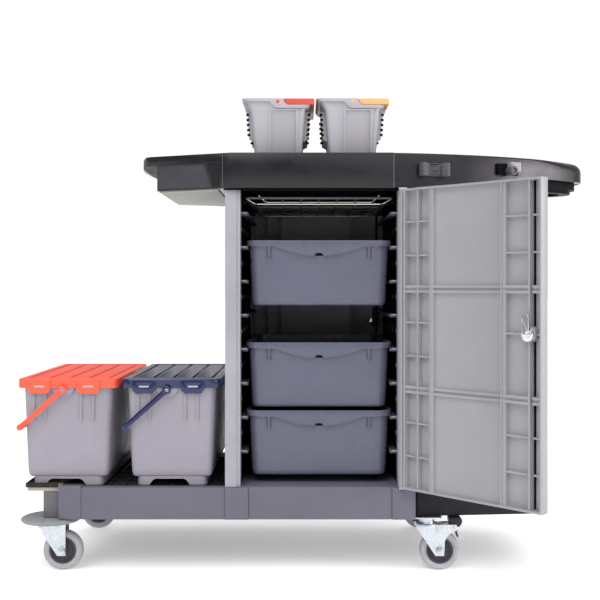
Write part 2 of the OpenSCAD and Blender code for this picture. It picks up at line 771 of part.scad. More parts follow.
module hand_bucket(x) {
    w = bucket_w;
    d = bucket_d;
    z0 = tray_floor + 0.5;
    color([0.73, 0.72, 0.75]) translate([x, bucket_y, 0]) difference() {
        union() {
            loft([[w - 71, d - 60, 18, z0], [w - 16, d - 12, 22, bucket_top - 20], [w, d, 24, bucket_top - 16.5],
                [w, d, 24, bucket_top], [w - 6, d - 6, 21, bucket_top], [w - 22, d - 18, 19, bucket_top - 19],
                [w - 77, d - 66, 15, z0 + wall]]);
            both_sides([-14, 14], [5.5 - d / 2, 16 - d / 2], [bucket_top - 30, bucket_top]);
        }
        block([12, w], [-d, d], [bucket_top - 16.3, bucket_top + 1]);
        both_sides([-10, 12 + e], [-d / 2 - 1, 5.5 - d / 2], [bucket_top - 18, bucket_top + 1]);
        for (s = [0, 1]) mirror([0, s, 0]) rod_y(0, bail_z, 4 + run, -d / 2, 13 - d / 2);
    }
}

// U-shaped bail, folded flat over the right half of the rim
module bail(x, tint) {
    w = bucket_w / 2;
    y = bucket_d / 2;
    color(tint) translate([x, bucket_y, 0]) union() {
        for (s = [0, 1]) mirror([0, s, 0]) {
            rod_y(0, bail_z, 8, -y, 5 - y);
            rod_y(0, bail_z, 4, -y + 1, 12 - y);
            block([0, w - 1], [-y, 5 - y], [bail_z - 7.7, bail_z + 7.7]);
        }
        block([w - 14, w], [-y, y], [bail_z - 7.7, bail_z + 7.7]);
    }
}

module place() {
    translate([-mid_x, -mid_y, 0]) children();
}

red = [0.95, 0.42, 0.37];
blue = [0.33, 0.33, 0.47];
yellow = [0.96, 0.78, 0.50];

place() side_rails();
place() end_rail();
place() corner_blocks();
place() post_feet();
place() bay_floor();
place() end_bracket();
place() end_lip();
place() bag_platform();
place() cabinet_floor();
place() cabinet_roof();
place() cabinet_posts();
place() cabinet_skins();
place() runner_panels();
place() drawer_runners();
place() shelf_brackets();
place() hinge_pins();
place() top_tray();
place() tray_under_panel();
place() bag_ring();
place() bag_clamp_ring();
place() bag_lid();
place() tool_clip_front();
place() tool_clip_side();
place() caster_plates();
place() fork(left_kingpin_x, -kingpin_y, false);  // fork_front_left
place() fork(left_kingpin_x, kingpin_y, false);  // fork_rear_left
place() fork(right_kingpin_x, -kingpin_y, true);  // fork_front_right
place() fork(right_kingpin_x, kingpin_y, true);  // fork_rear_right
place() hub(left_kingpin_x, -kingpin_y);  // hub_front_left
place() hub(left_kingpin_x, kingpin_y);  // hub_rear_left
place() hub(right_kingpin_x, -kingpin_y);  // hub_front_right
place() hub(right_kingpin_x, kingpin_y);  // hub_rear_right
place() tyre(left_kingpin_x, -kingpin_y);  // tyre_front_left
place() tyre(left_kingpin_x, kingpin_y);  // tyre_rear_left
place() tyre(right_kingpin_x, -kingpin_y);  // tyre_front_right
place() tyre(right_kingpin_x, kingpin_y);  // tyre_rear_right
place() brake(-kingpin_y);  // brake_front
place() brake(kingpin_y);  // brake_rear
place() bumper(-kingpin_y);  // bumper_front
place() bumper(kingpin_y);  // bumper_rear
place() on_front_door() door_leaf();  // front_door
place() on_front_door() lock_barrel();  // front_lock_barrel
place() on_front_door() lock_cam();  // front_lock_cam
place() on_rear_door() door_leaf();  // rear_door
place() on_rear_door() lock_barrel();  // rear_lock_barrel
place() on_rear_door() lock_cam();  // rear_lock_cam
place() drawer(drawer_slots[0]);  // drawer_top
place() drawer(drawer_slots[1]);  // drawer_middle
place() drawer(drawer_slots[2]);  // drawer_bottom
place() wire_shelf();
place() mop_box(box_left_x);  // mop_box_left
place() mop_box(box_right_x);  // mop_box_right
place() box_lid(box_left_x, red);  // box_lid_left
place() box_lid(box_right_x, blue);  // box_lid_right
place() box_handle(box_left_x, red);  // box_handle_left
place() box_handle(box_right_x, blue);  // box_handle_right
place() hand_bucket(bucket_left_x);  // hand_bucket_left
place() hand_bucket(bucket_right_x);  // hand_bucket_right
place() bail(bucket_left_x, red);  // bail_left
place() bail(bucket_right_x, yellow);  // bail_right
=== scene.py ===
"""Looks of the housekeeping cart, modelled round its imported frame.

Pieces are drawn in the cart's layout, in millimetres: X runs along the cart from a point near the left
hand bucket, Y = 0 is the middle of the cart's depth, -Y is the front, and Z = 0 is the floor.
TO_FRAME takes them into the frame, in metres.
"""
import json
import math

import bmesh
import bpy
from mathutils import Matrix, Vector


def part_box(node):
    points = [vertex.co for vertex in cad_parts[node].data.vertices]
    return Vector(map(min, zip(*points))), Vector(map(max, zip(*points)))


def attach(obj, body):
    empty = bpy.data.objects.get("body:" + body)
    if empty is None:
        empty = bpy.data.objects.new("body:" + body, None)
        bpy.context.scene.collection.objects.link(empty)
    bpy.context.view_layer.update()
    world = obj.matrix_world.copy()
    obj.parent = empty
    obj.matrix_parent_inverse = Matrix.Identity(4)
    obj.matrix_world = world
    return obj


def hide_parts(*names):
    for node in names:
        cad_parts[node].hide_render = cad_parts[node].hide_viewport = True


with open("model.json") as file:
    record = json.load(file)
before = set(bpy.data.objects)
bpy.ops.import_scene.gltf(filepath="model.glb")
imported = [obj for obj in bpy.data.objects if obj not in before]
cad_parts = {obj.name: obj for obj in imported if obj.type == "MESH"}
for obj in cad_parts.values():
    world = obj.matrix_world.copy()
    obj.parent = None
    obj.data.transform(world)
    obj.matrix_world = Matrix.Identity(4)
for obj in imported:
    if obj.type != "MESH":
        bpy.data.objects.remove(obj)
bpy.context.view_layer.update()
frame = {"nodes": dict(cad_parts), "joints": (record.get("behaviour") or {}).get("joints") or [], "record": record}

MM = 0.001
RAIL_LEFT = -560  # left end of the long rails, in the layout
rails_lo, rails_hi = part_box("side_rails")
ORIGIN = Vector((rails_lo.x - RAIL_LEFT * MM, (rails_lo.y + rails_hi.y) / 2, 0))
TO_FRAME = Matrix.Translation(ORIGIN) @ Matrix.Scale(MM, 4)


def layout_box(node):
    """Lowest and highest corners of a CAD node, in the layout's millimetres."""
    lo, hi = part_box(node)
    return (lo - ORIGIN) / MM, (hi - ORIGIN) / MM


def rad(degrees):
    return math.radians(degrees)


# ---- materials ----


def linear(r, g, b):
    """A screen colour from 0 to 255, as linear light."""
    parts = [c / 255 for c in (r, g, b)]
    return [c / 12.92 if c <= 0.04045 else ((c + 0.055) / 1.055) ** 2.4 for c in parts] + [1]


def feed(node, **values):
    """Sets a node's sockets, which are named with _ for a space."""
    for k, v in values.items():
        node.inputs[k.replace("_", " ")].default_value = v


FINISH = {}


class Mat:
    """A node material with the few nodes that every finish here is made from."""

    def __init__(self, name):
        self.name = name
        self.m = bpy.data.materials.new(name)
        self.m.use_nodes = True
        self.tree = self.m.node_tree
        self.shader = self.tree.nodes["Principled BSDF"]
        self.coords = self.node("ShaderNodeTexCoord").outputs["Object"]

    def node(self, kind, **values):
        n = self.tree.nodes.new(kind)
        for k, v in values.items():
            setattr(n, k, v)
        return n

    def link(self, a, b):
        self.tree.links.new(a, b)

    def noise(self, scale, detail=3.0, rough=0.5, stretch=None):
        n = self.node("ShaderNodeTexNoise")
        feed(n, Scale=scale, Detail=detail, Roughness=rough)
        at = self.coords
        if stretch:
            mapping = self.node("ShaderNodeMapping")
            feed(mapping, Scale=stretch)
            self.link(at, mapping.inputs["Vector"])
            at = mapping.outputs["Vector"]
        self.link(at, n.inputs["Vector"])
        return n.outputs["Fac"]

    def ramp(self, value, low, high, to_low=0.0, to_high=1.0):
        n = self.node("ShaderNodeMapRange", clamp=True)
        feed(n, From_Min=low, From_Max=high, To_Min=to_low, To_Max=to_high)
        self.link(value, n.inputs["Value"])
        return n.outputs["Result"]

    def math(self, operation, a, b):
        n = self.node("ShaderNodeMath", operation=operation)
        for k, v in enumerate((a, b)):
            if isinstance(v, (int, float)):
                n.inputs[k].default_value = v
            else:
                self.link(v, n.inputs[k])
        return n.outputs["Value"]

    def mix(self, factor, a, b):
        n = self.node("ShaderNodeMix", data_type="RGBA")
        self.link(factor, n.inputs["Factor"])
        for k, v in (("A", a), ("B", b)):
            socket = [s for s in n.inputs if s.name == k and s.type == "RGBA"][0]
            if isinstance(v, (list, tuple)):
                socket.default_value = v
            else:
                self.link(v, socket)
        return [s for s in n.outputs if s.type == "RGBA"][0]

    def bump(self, height, strength, distance):
        n = self.node("ShaderNodeBump")
        feed(n, Strength=strength, Distance=distance)
        self.link(height, n.inputs["Height"])
        self.link(n.outputs["Normal"], self.shader.inputs["Normal"])

    def edges(self, radius):
        """1 on edges that stand out by about radius, 0 on flats."""
        bevel = self.node("ShaderNodeBevel", samples=3)
        feed(bevel, Radius=radius)
        dot = self.node("ShaderNodeVectorMath", operation="DOT_PRODUCT")
        self.link(bevel.outputs["Normal"], dot.inputs[0])
        self.link(self.node("ShaderNodeNewGeometry").outputs["Normal"], dot.inputs[1])
        return self.ramp(dot.outputs["Value"], 0.90, 0.995, 1.0, 0.0)

    def finish(self, colour, roughness, **values):
        """Joins colour and roughness to the shader, sets its other sockets, and keeps it in FINISH."""
        self.link(colour, self.shader.inputs["Base Color"])
        self.link(roughness, self.shader.inputs["Roughness"])
        feed(self.shader, **values)
        FINISH[self.name] = self.m


def shade(colour, factor, lift=0.0):
    return [min(1, c * factor + lift) for c in colour[:3]] + [1]


def moulded(name, rgb, rough=0.5, specular=0.35, grain=1.0, mottle=0.07, wear=0.35, scuff=0.25, coat=0.0):
    """Injection-moulded plastic: fine grain, faint clouds, long scuffs, paler rubbed edges."""
    mat = Mat(name)
    base = linear(*rgb)
    clouds = mat.ramp(mat.noise(7, 4, 0.6), 0.3, 0.7)
    colour = mat.mix(clouds, shade(base, 1 - mottle), shade(base, 1 + mottle))
    scuffs = mat.ramp(mat.noise(60, 5, 0.7, (0.25, 1, 1.6)), 0.62, 0.75, 0, scuff)
    colour = mat.mix(scuffs, colour, shade(base, 1.35))
    rubbed = mat.math("MULTIPLY", mat.edges(0.0014), mat.ramp(mat.noise(45, 3), 0.3, 0.65, 0.3, wear))
    colour = mat.mix(rubbed, colour, shade(base, 1.25, 0.12))
    gloss = mat.ramp(mat.noise(25, 4), 0.3, 0.7, rough - 0.06, rough + 0.08)
    mat.bump(mat.noise(1400, 2, 0.6), 0.12 * grain, 0.0004)
    mat.finish(colour, gloss, Specular_IOR_Level=specular, Coat_Weight=coat, Coat_Roughness=0.08)


def leather_grain(name, rgb, rough=0.5, specular=0.3):
    """Dark moulded plastic with an eroded leather-like grain."""
    mat = Mat(name)
    base = linear(*rgb)
    cells = mat.node("ShaderNodeTexVoronoi", feature="DISTANCE_TO_EDGE")
    feed(cells, Scale=420)
    mat.link(mat.coords, cells.inputs["Vector"])
    pits = mat.ramp(cells.outputs["Distance"], 0.0, 0.25)
    clouds = mat.ramp(mat.noise(9, 4, 0.6), 0.3, 0.7)
    colour = mat.mix(clouds, shade(base, 0.85), shade(base, 1.2))
    scratches = mat.ramp(mat.noise(35, 6, 0.75, (0.6, 1, 3)), 0.66, 0.74, 0, 0.5)
    colour = mat.mix(scratches, colour, shade(base, 2.0))
    rubbed = mat.math("MULTIPLY", mat.edges(0.0016), mat.ramp(mat.noise(30, 3), 0.3, 0.65, 0.15, 0.5))
    colour = mat.mix(rubbed, colour, shade(base, 1.6, 0.05))
    gloss = mat.ramp(mat.noise(14, 4), 0.3, 0.7, rough - 0.07, rough + 0.1)
    mat.bump(mat.math("ADD", pits, mat.noise(1800, 2)), 0.2, 0.0003)
    mat.finish(colour, gloss, Specular_IOR_Level=specular)


def metal(name, rgb, rough=0.25, spots=0.12):
    """Plated steel: a cloudy plating, fine grain and slightly uneven gloss."""
    mat = Mat(name)
    base = linear(*rgb)
    spangle = mat.ramp(mat.noise(160, 4, 0.7), 0.35, 0.7)
    colour = mat.mix(spangle, shade(base, 1 - spots), shade(base, 1 + spots / 2))
    grime = mat.ramp(mat.noise(22, 5, 0.7), 0.6, 0.8, 0, 0.35)
    colour = mat.mix(grime, colour, shade(base, 0.55))
    gloss = mat.ramp(mat.noise(90, 4, 0.6), 0.3, 0.7, rough * 0.7, rough * 1.4)
    mat.bump(mat.noise(700, 3, 0.6), 0.08, 0.0003)
    mat.finish(colour, gloss, Metallic=1.0)


def rubber(name, rgb, rough=0.75):
    """Matt rubber with a dusty bloom and tiny pores."""
    mat = Mat(name)
    base = linear(*rgb)
    dust = mat.ramp(mat.noise(40, 5, 0.7), 0.4, 0.75)
    colour = mat.mix(dust, shade(base, 0.92), shade(base, 1.1, 0.02))
    gloss = mat.ramp(mat.noise(60, 3), 0.3, 0.7, rough - 0.08, rough + 0.1)
    mat.bump(mat.noise(1100, 3, 0.7), 0.25, 0.0003)
    mat.finish(colour, gloss, Specular_IOR_Level=0.3)


moulded("rail_grey", (97, 95, 107), grain=1.2)
moulded("end_grey", (98, 97, 104))
leather_grain("charcoal", (38, 39, 43), specular=0.15)
leather_grain("tray_black", (14, 10, 17), rough=0.26, specular=0.45)
moulded("post_grey", (152, 150, 160), rough=0.42)
# liner_dark is near-black painted shade, for the cabinet's inside and for the shaded slots, notches, cut-outs and
# undersides that pieces below are laid on.
moulded("liner_dark", (12, 11, 14), specular=0.05, mottle=0.15, wear=0.1)
moulded("runner_grey", (78, 76, 82), mottle=0.12)
moulded("beige_strip", (178, 168, 155))
rubber("lip_rubber", (30, 30, 32))
moulded("under_panel", (155, 161, 151), rough=0.6, mottle=0.05)
metal("zinc_steel", (205, 210, 216), rough=0.32)
moulded("hub_grey", (54, 52, 59), mottle=0.1)
rubber("tyre_grey", (163, 162, 166))
moulded("brake_black", (30, 30, 32), mottle=0.15, wear=0.2)
rubber("bumper_grey", (134, 139, 140), rough=0.6)
moulded("door_grey", (148, 147, 151), rough=0.4, mottle=0.04)
metal("lock_chrome", (214, 214, 218), rough=0.12, spots=0.04)
moulded("drawer_slate", (86, 89, 106), rough=0.27, specular=0.42, mottle=0.05)
metal("shelf_wire", (214, 212, 204), rough=0.16, spots=0.05)
moulded("box_grey", (144, 140, 150), rough=0.45, mottle=0.04)
moulded("bucket_grey", (166, 164, 170), rough=0.38, mottle=0.03)
moulded("lid_red", (248, 90, 68), rough=0.36, mottle=0.04, wear=0.08)
moulded("lid_blue", (6, 22, 70), rough=0.2, specular=0.5, wear=0.05, scuff=0.1, coat=0.3)
moulded("bail_red", (205, 75, 63), rough=0.4, mottle=0.04)
moulded("bail_yellow", (227, 169, 108), rough=0.4, mottle=0.04)
moulded("clip_dark", (84, 83, 88))
moulded("clip_light", (146, 143, 149))

JOINTS = {j["name"]: j for j in frame["joints"]}
NODE_SLOT = {s["node"]: s["material_slot"] for s in frame["record"]["subparts"]}
NODE_BODY = {n: b for b, members in frame["record"]["behaviour"]["bodies"].items() for n in members}

# ---- mesh tools: everything is drawn in millimetres ----

BOTH = (-1, 1)  # the two sides of a mirrored shape


def arc(cx, cy, r, a0, a1, n):
    return [(cx + r * math.cos(rad(a0 + (a1 - a0) * i / n)), cy + r * math.sin(rad(a0 + (a1 - a0) * i / n)))
            for i in range(n + 1)]


def round_rect(w, d, r, n=6):
    corners = ((w / 2 - r, d / 2 - r, 0), (r - w / 2, d / 2 - r, 90),
               (r - w / 2, r - d / 2, 180), (w / 2 - r, r - d / 2, 270))
    return [p for x, y, a in corners for p in arc(x, y, r, a, a + 90, n)]


def bridge(bm, a, b):
    for i in range(len(a)):
        j = (i + 1) % len(a)
        bm.faces.new((a[i], a[j], b[j], b[i]))


def loft(bm, rings, caps=True):
    """A skin through rings of points, each with as many points as the next."""
    made = [[bm.verts.new(p) for p in ring] for ring in rings]
    for a, b in zip(made, made[1:]):
        bridge(bm, a, b)
    if caps:
        bm.faces.new(made[0][::-1])
        bm.faces.new(made[-1])
    return made


def prism(bm, outline, a, b, plane="xy"):
    """An outline pushed from a to b, square to its plane, which is xy or xz."""
    loft(bm, [[(u, v, w) if plane == "xy" else (u, w, v) for u, v in outline] for w in (a, b)])


def block(bm, x, y, z):
    prism(bm, [(x[0], y[0]), (x[1], y[0]), (x[1], y[1]), (x[0], y[1])], z[0], z[1])


def shape(build, *args):
    bm = bmesh.new()
    build(bm, *args)
    return bm


def lathe(bm, profile, centre, axis, steps):
    """A closed profile of (radius, height) turned round an axis through centre."""
    turn = {"z": lambda r, h, c, s: (r * c, r * s, h), "y": lambda r, h, c, s: (r * c, h, r * s)}[axis]
    cols = []
    for k in range(steps):
        c, s = math.cos(2 * math.pi * k / steps), math.sin(2 * math.pi * k / steps)
        cols.append([bm.verts.new(Vector(turn(r, h, c, s)) + Vector(centre)) for r, h in profile])
    for k in range(steps):
        bridge(bm, cols[k], cols[(k + 1) % steps])


def rod(bm, a, b, r, steps=16):
    """A round bar from a to b."""
    a, b = Vector(a), Vector(b)
    side = (b - a).orthogonal().normalized()
    up = (b - a).normalized().cross(side)
    spin = [math.cos(2 * math.pi * k / steps) * side + math.sin(2 * math.pi * k / steps) * up
            for k in range(steps)]
    loft(bm, [[p + r * s for s in spin] for p in (a, b)])


def tube(bm, path, r, closed=False):
    """A wire along a path, with its bends already in the path."""
    path = [Vector(p) for p in path]
    n, steps = len(path), 10
    rings = []
    normal = None
    for i, p in enumerate(path):
        before = path[i - 1] if i or closed else p
        after = path[(i + 1) % n] if i < n - 1 or closed else p
        along = (after - before).normalized()
        if normal is None:
            normal = along.orthogonal().normalized()
        normal = (normal - along * normal.dot(along)).normalized()
        other = along.cross(normal)
        rings.append([p + r * (math.cos(2 * math.pi * k / steps) * normal
                               + math.sin(2 * math.pi * k / steps) * other) for k in range(steps)])
    made = loft(bm, rings, caps=not closed)
    if closed:
        bridge(bm, made[-1], made[0])


def rounded(corners, r, closed=True):
    """The path through corners, with each corner rounded by about r."""
    pts = [Vector(c) for c in corners]
    out = []
    for i, p in enumerate(pts):
        if not closed and i in (0, len(pts) - 1):
            out.append(p)
            continue
        a, b = pts[i - 1], pts[(i + 1) % len(pts)]
        cut = min(r, (a - p).length / 2.1, (b - p).length / 2.1)
        s, e = p + (a - p).normalized() * cut, p + (b - p).normalized() * cut
        for t in (0, 0.2, 0.4, 0.6, 0.8, 1):
            out.append(s * (1 - t) ** 2 + p * 2 * t * (1 - t) + e * t * t)
    return out


def terrace(bm, us, vs, level, put, wrap=False, back=None):
    """A stepped skin. Cell (i, j) lies at level(u, v), taken at its middle, with walls between unequal
    neighbours; put(u, v, level) is the point in space. With back, the skin is closed at that level."""
    nu, nv = len(us) - (0 if wrap else 1), len(vs) - 1
    mid_u = [(us[i] + us[i + 1]) / 2 if i + 1 < len(us) else us[i] for i in range(nu)]
    cell = {(i, j): level(mid_u[i], (vs[j] + vs[j + 1]) / 2) for i in range(nu) for j in range(nv)}
    verts = {}

    def at(i, j):
        return cell.get((i % nu if wrap else i, j), back)

    def vert(i, j, h):
        key = (i % nu if wrap else i, j, h)
        if key not in verts:
            verts[key] = bm.verts.new(put(us[key[0]], vs[j], h))
        return verts[key]

    def between(i, j, lo, hi):
        found = {at(a, b) for a in (i - 1, i) for b in (j - 1, j)} - {None}
        return [vert(i, j, h) for h in sorted(found) if lo <= h <= hi]

    for (i, j), h in cell.items():
        bm.faces.new([vert(i, j, h), vert(i + 1, j, h), vert(i + 1, j + 1, h), vert(i, j + 1, h)])
    walls = [((i, j), (i - 1, j), (i, j + 1)) for i in range(nu + (not wrap)) for j in range(nv)]
    walls += [((i, j), (i, j - 1), (i + 1, j)) for i in range(nu) for j in range(nv + 1)]
    for near, across, far in walls:  # across is the cell on the wall's other side
        ends = at(*across), at(*near)
        if None not in ends and ends[0] != ends[1]:
            bm.faces.new(between(*near, min(ends), max(ends)) + between(*far, min(ends), max(ends))[::-1])
    if back is not None and not wrap:
        bm.faces.new([vert(i, 0, back) for i in range(nu)] + [vert(nu, j, back) for j in range(nv)]
                     + [vert(i, nv, back) for i in range(nu, 0, -1)] + [vert(0, j, back) for j in range(nv, 0, -1)])
    return [[vert(i, j, at(i, min(j, nv - 1))) for i in range(nu)] for j in (0, nv)] if wrap else None


def as_mesh(name, bm):
    mesh = bpy.data.meshes.new(name)
    bm.to_mesh(mesh)
    bm.free()
    return mesh


def placed(name, data):
    obj = bpy.data.objects.new(name, data)
    bpy.context.scene.collection.objects.link(obj)
    return obj


def baked(obj):
    """Replaces the object's mesh by what its modifiers make of it."""
    shaped = bpy.data.meshes.new_from_object(obj.evaluated_get(bpy.context.evaluated_depsgraph_get()))
    old = obj.data
    obj.modifiers.clear()
    obj.data = shaped
    bpy.data.meshes.remove(old)


def piece(name, bm, node, slot=None, bevel=0.0, place=None, replaces=True, sharp=35):
    """Makes the drawn mesh a piece of the cart: it rides with a CAD node's body and takes its finish."""
    bmesh.ops.remove_doubles(bm, verts=bm.verts, dist=0.01)
    bmesh.ops.recalc_face_normals(bm, faces=bm.faces)
    bm.transform(TO_FRAME @ (place or Matrix()))
    obj = placed(name, as_mesh(name, bm))
    if bevel:
        mod = obj.modifiers.new("bevel", "BEVEL")
        mod.width = bevel * MM
        mod.segments = 2
        mod.limit_method = "ANGLE"
        mod.angle_limit = rad(sharp)
        mod.use_clamp_overlap = True
        baked(obj)
    slot = slot or NODE_SLOT[node]
    obj.data.materials.clear()
    obj.data.materials.append(FINISH[slot])
    obj.data.polygons.foreach_set("use_smooth", [True] * len(obj.data.polygons))
    obj.data.set_sharp_from_angle(angle=rad(sharp))
    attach(obj, NODE_BODY[node])
    if replaces:
        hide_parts(node)
    return obj


def extra(name, bm, node, **looks):
    """A piece beside a node's own one, which it doesn't replace."""
    return piece(name, bm, node, replaces=False, **looks)


def softened(node, bevel, slot=None):
    """A CAD node's own shape, welded and with its hard edges rounded."""
    bm = bmesh.new()
    bm.from_mesh(frame["nodes"][node].data)
    bm.transform(TO_FRAME.inverted())
    bmesh.ops.remove_doubles(bm, verts=bm.verts, dist=0.002)
    bmesh.ops.dissolve_limit(bm, angle_limit=rad(0.5), verts=bm.verts, edges=bm.edges)
    return piece(node + "_soft", bm, node, slot=slot, bevel=bevel)


# ---- pieces that keep the CAD's shape, with their hard edges rounded ----

for node, radius in (
    ("side_rails", 1.5), ("end_rail", 2), ("corner_blocks", 3), ("post_feet", 1.2), ("bay_floor", 0.5),
    ("end_bracket", 1), ("bag_platform", 3), ("cabinet_floor", 0.5), ("cabinet_roof", 1), ("cabinet_posts", 2),
    ("cabinet_skins", 0.5), ("runner_panels", 0.5), ("drawer_runners", 0.8), ("shelf_brackets", 1),
    ("tray_under_panel", 0.8), ("hinge_pins", 0.5), ("caster_plates", 0.8), ("top_tray", 2.2),
    ("front_lock_barrel", 0.6), ("rear_lock_barrel", 0.6), ("front_lock_cam", 0.8),
):
    softened(node, radius)
softened("rear_lock_cam", 0.8, slot="brake_black")

# ---- tubs: drawers, mop boxes and hand buckets ----


def tub_path(stops):
    """Places round a rounded rectangle, counter-clockwise from its front left corner."""
    out = []
    for k, (sx, sy) in enumerate(((-1, -1), (1, -1), (1, 1), (-1, 1))):
        out += [("corner", sx, sy, 180 + 90 * k + 18 * i) for i in range(6)]
        if k == 0:
            out += [("front", s) for s in stops]
        if k == 2:
            out += [("back", s) for s in stops[::-1]]
    return out


def tub_point(spot, size, out):
    w, d, r = size
    if spot[0] == "corner":
        _, sx, sy, a = spot
        return (sx * (w / 2 - r) + (r + out) * math.cos(rad(a)), sy * (d / 2 - r) + (r + out) * math.sin(rad(a)))
    name, s = spot
    return (s, -d / 2 - out if name == "front" else d / 2 + out)


def tub(bm, centre, sizes, rows, level, stops, bend=None):
    """A hollow moulding with relief on its outside. sizes are (z, w, d, r) from the bottom up; rows are the
    heights of the relief's edges, which bend(x, z) may move; level(side, s, z) is how far a cell stands out.
    stops are the places of the relief's edges along the front and the back."""
    path, wall = tub_path(stops), 3

    def size(z):
        for (z0, *a), (z1, *b) in zip(sizes, sizes[1:]):
            if z <= z1:
                t = max(0, (z - z0) / (z1 - z0))
                return [p + (q - p) * t for p, q in zip(a, b)]
        return sizes[-1][1:]

    middle = size((rows[0] + rows[-1]) / 2)

    def put(i, z, out):
        spot = path[int(i)]
        x = tub_point(spot, middle, 0)[0]
        z = bend(x, z) if bend else z
        x, y = tub_point(spot, size(z), out)
        return centre[0] + x, centre[1] + y, z

    def cell(i, z):
        a, b = path[int(i)], path[(int(i) + 1) % len(path)]
        pa, pb = tub_point(a, middle, 0), tub_point(b, middle, 0)
        if abs(pa[1] - pb[1]) < 0.01:
            return level("front" if pa[1] < 0 else "back", (pa[0] + pb[0]) / 2, z)
        if abs(pa[0] - pb[0]) < 0.01:
            return level("left" if pa[0] < 0 else "right", (pa[1] + pb[1]) / 2, z)
        return level("corner", (pa[0] + pb[0]) / 2, z)

    low, high = terrace(bm, list(range(len(path))), rows, cell, put, wrap=True)
    bm.faces.new(low[::-1])
    rim = rows[-1]
    depths = [rim] + [z for z, *_ in sizes[::-1] if z < rim - 2] + [sizes[0][0] + wall]
    inner = high
    for z in sorted(set(max(z, sizes[0][0] + wall) for z in depths), reverse=True):
        ring = []
        for i, spot in enumerate(path):
            top = bend(tub_point(spot, middle, 0)[0], rim) if bend else rim
            h = min(z, top) if z < rim else top
            x, y = tub_point(spot, size(h), -wall)
            ring.append(bm.verts.new((centre[0] + x, centre[1] + y, h)))
        bridge(bm, inner, ring)
        inner = ring
    bm.faces.new(inner)


def span(a, b, step):
    n = max(1, round((b - a) / step))
    return [a + (b - a) * i / n for i in range(n + 1)]


SMILE_HALF, SMILE_DEEP = 110, 25  # the deep middle of a drawer's rim
NOTCH_HALF, NOTCH_DEEP = 11, 7.5  # the finger notch under it
RIB_AT, RIB_LOW = 127, 44


def drawer(name):
    lo, hi = layout_box(name)
    w, d = hi.x - lo.x, hi.y - lo.y
    z0, z1 = lo.z, hi.z
    rim = z1 - 14
    edge = z1 - 40

    def bend(x, z):
        if z != edge:
            return z
        sag = 1.5 + (SMILE_DEEP - 1.5) * max(0, 1 - (x / SMILE_HALF) ** 2)
        if abs(x) < NOTCH_HALF:
            sag -= NOTCH_DEEP * math.sqrt(1 - (x / NOTCH_HALF) ** 2)
        return rim - sag

    def level(side, s, z):
        if z > rim or (side == "front" and z > edge):
            return 8
        if side in ("front", "back") and z > z1 - RIB_LOW and abs(abs(s) - RIB_AT) < 6:
            return 7.6 if abs(abs(s) - RIB_AT) < 2 else -1.8
        return 0

    bm = bmesh.new()
    stops = sorted(set(span(-SMILE_HALF, SMILE_HALF, 10) + span(-NOTCH_HALF, NOTCH_HALF, 2.2)
                       + [k * (RIB_AT + e) for k in BOTH for e in (-6, -2, 2, 6)]))
    tub(bm, ((lo.x + hi.x) / 2, (lo.y + hi.y) / 2),
        [(z0, w - 42, d - 41, 16), (z0 + 3, w - 34, d - 33, 20), (z0 + 12, w - 29, d - 28, 22),
         (rim, w - 16, d - 15, 24), (z1, w - 16, d - 15, 24)],
        [z0, z0 + 3, z0 + 12, z1 - RIB_LOW, edge, rim, z1], level, stops, bend)
    piece(name + "_tub", bm, name, bevel=1.2)
    x, y = (lo.x + hi.x) / 2, lo.y + 9.5
    # A near-black half-disc behind the finger notch: painted shade for the shaded opening under the rim.
    notch_shade = shape(prism, arc(x, rim - SMILE_DEEP, NOTCH_HALF - 0.5, 0, 180, 16), y - 1.5, y + 1, "xz")
    extra(name + "_notch", notch_shade, name, slot="liner_dark")


for name in ("drawer_top", "drawer_middle", "drawer_bottom"):
    drawer(name)

TAB_AT, TAB_HALF = (-69, 54), 29.5  # the latch tabs of a mop box's lid
SKIRT_FOOT, LID_DEEP, RIB_FOOT = 464, 526, 381
BOX_RIBS = (-84, -55, 35, 66)
ARCH_AT, ARCH_HALF = -6, 52
PIVOT_AT, PIVOT_Z = -10, 460


def carve(bm, *cutters):
    """The mesh with the cutters' volumes taken away."""
    objects = []
    for solid in (bm, *cutters):
        bmesh.ops.recalc_face_normals(solid, faces=solid.faces)
        objects.append(placed("carve", as_mesh("carve", solid)))
    for cutter in objects[1:]:
        mod = objects[0].modifiers.new("cut", "BOOLEAN")
        mod.operation, mod.solver, mod.object = "DIFFERENCE", "EXACT", cutter
    baked(objects[0])
    out = bmesh.new()
    out.from_mesh(objects[0].data)
    for obj in objects:
        mesh = obj.data
        bpy.data.objects.remove(obj)
        bpy.data.meshes.remove(mesh)
    return out


def shifted(outline, dx):
    return [(x + dx, y) for x, y in outline]


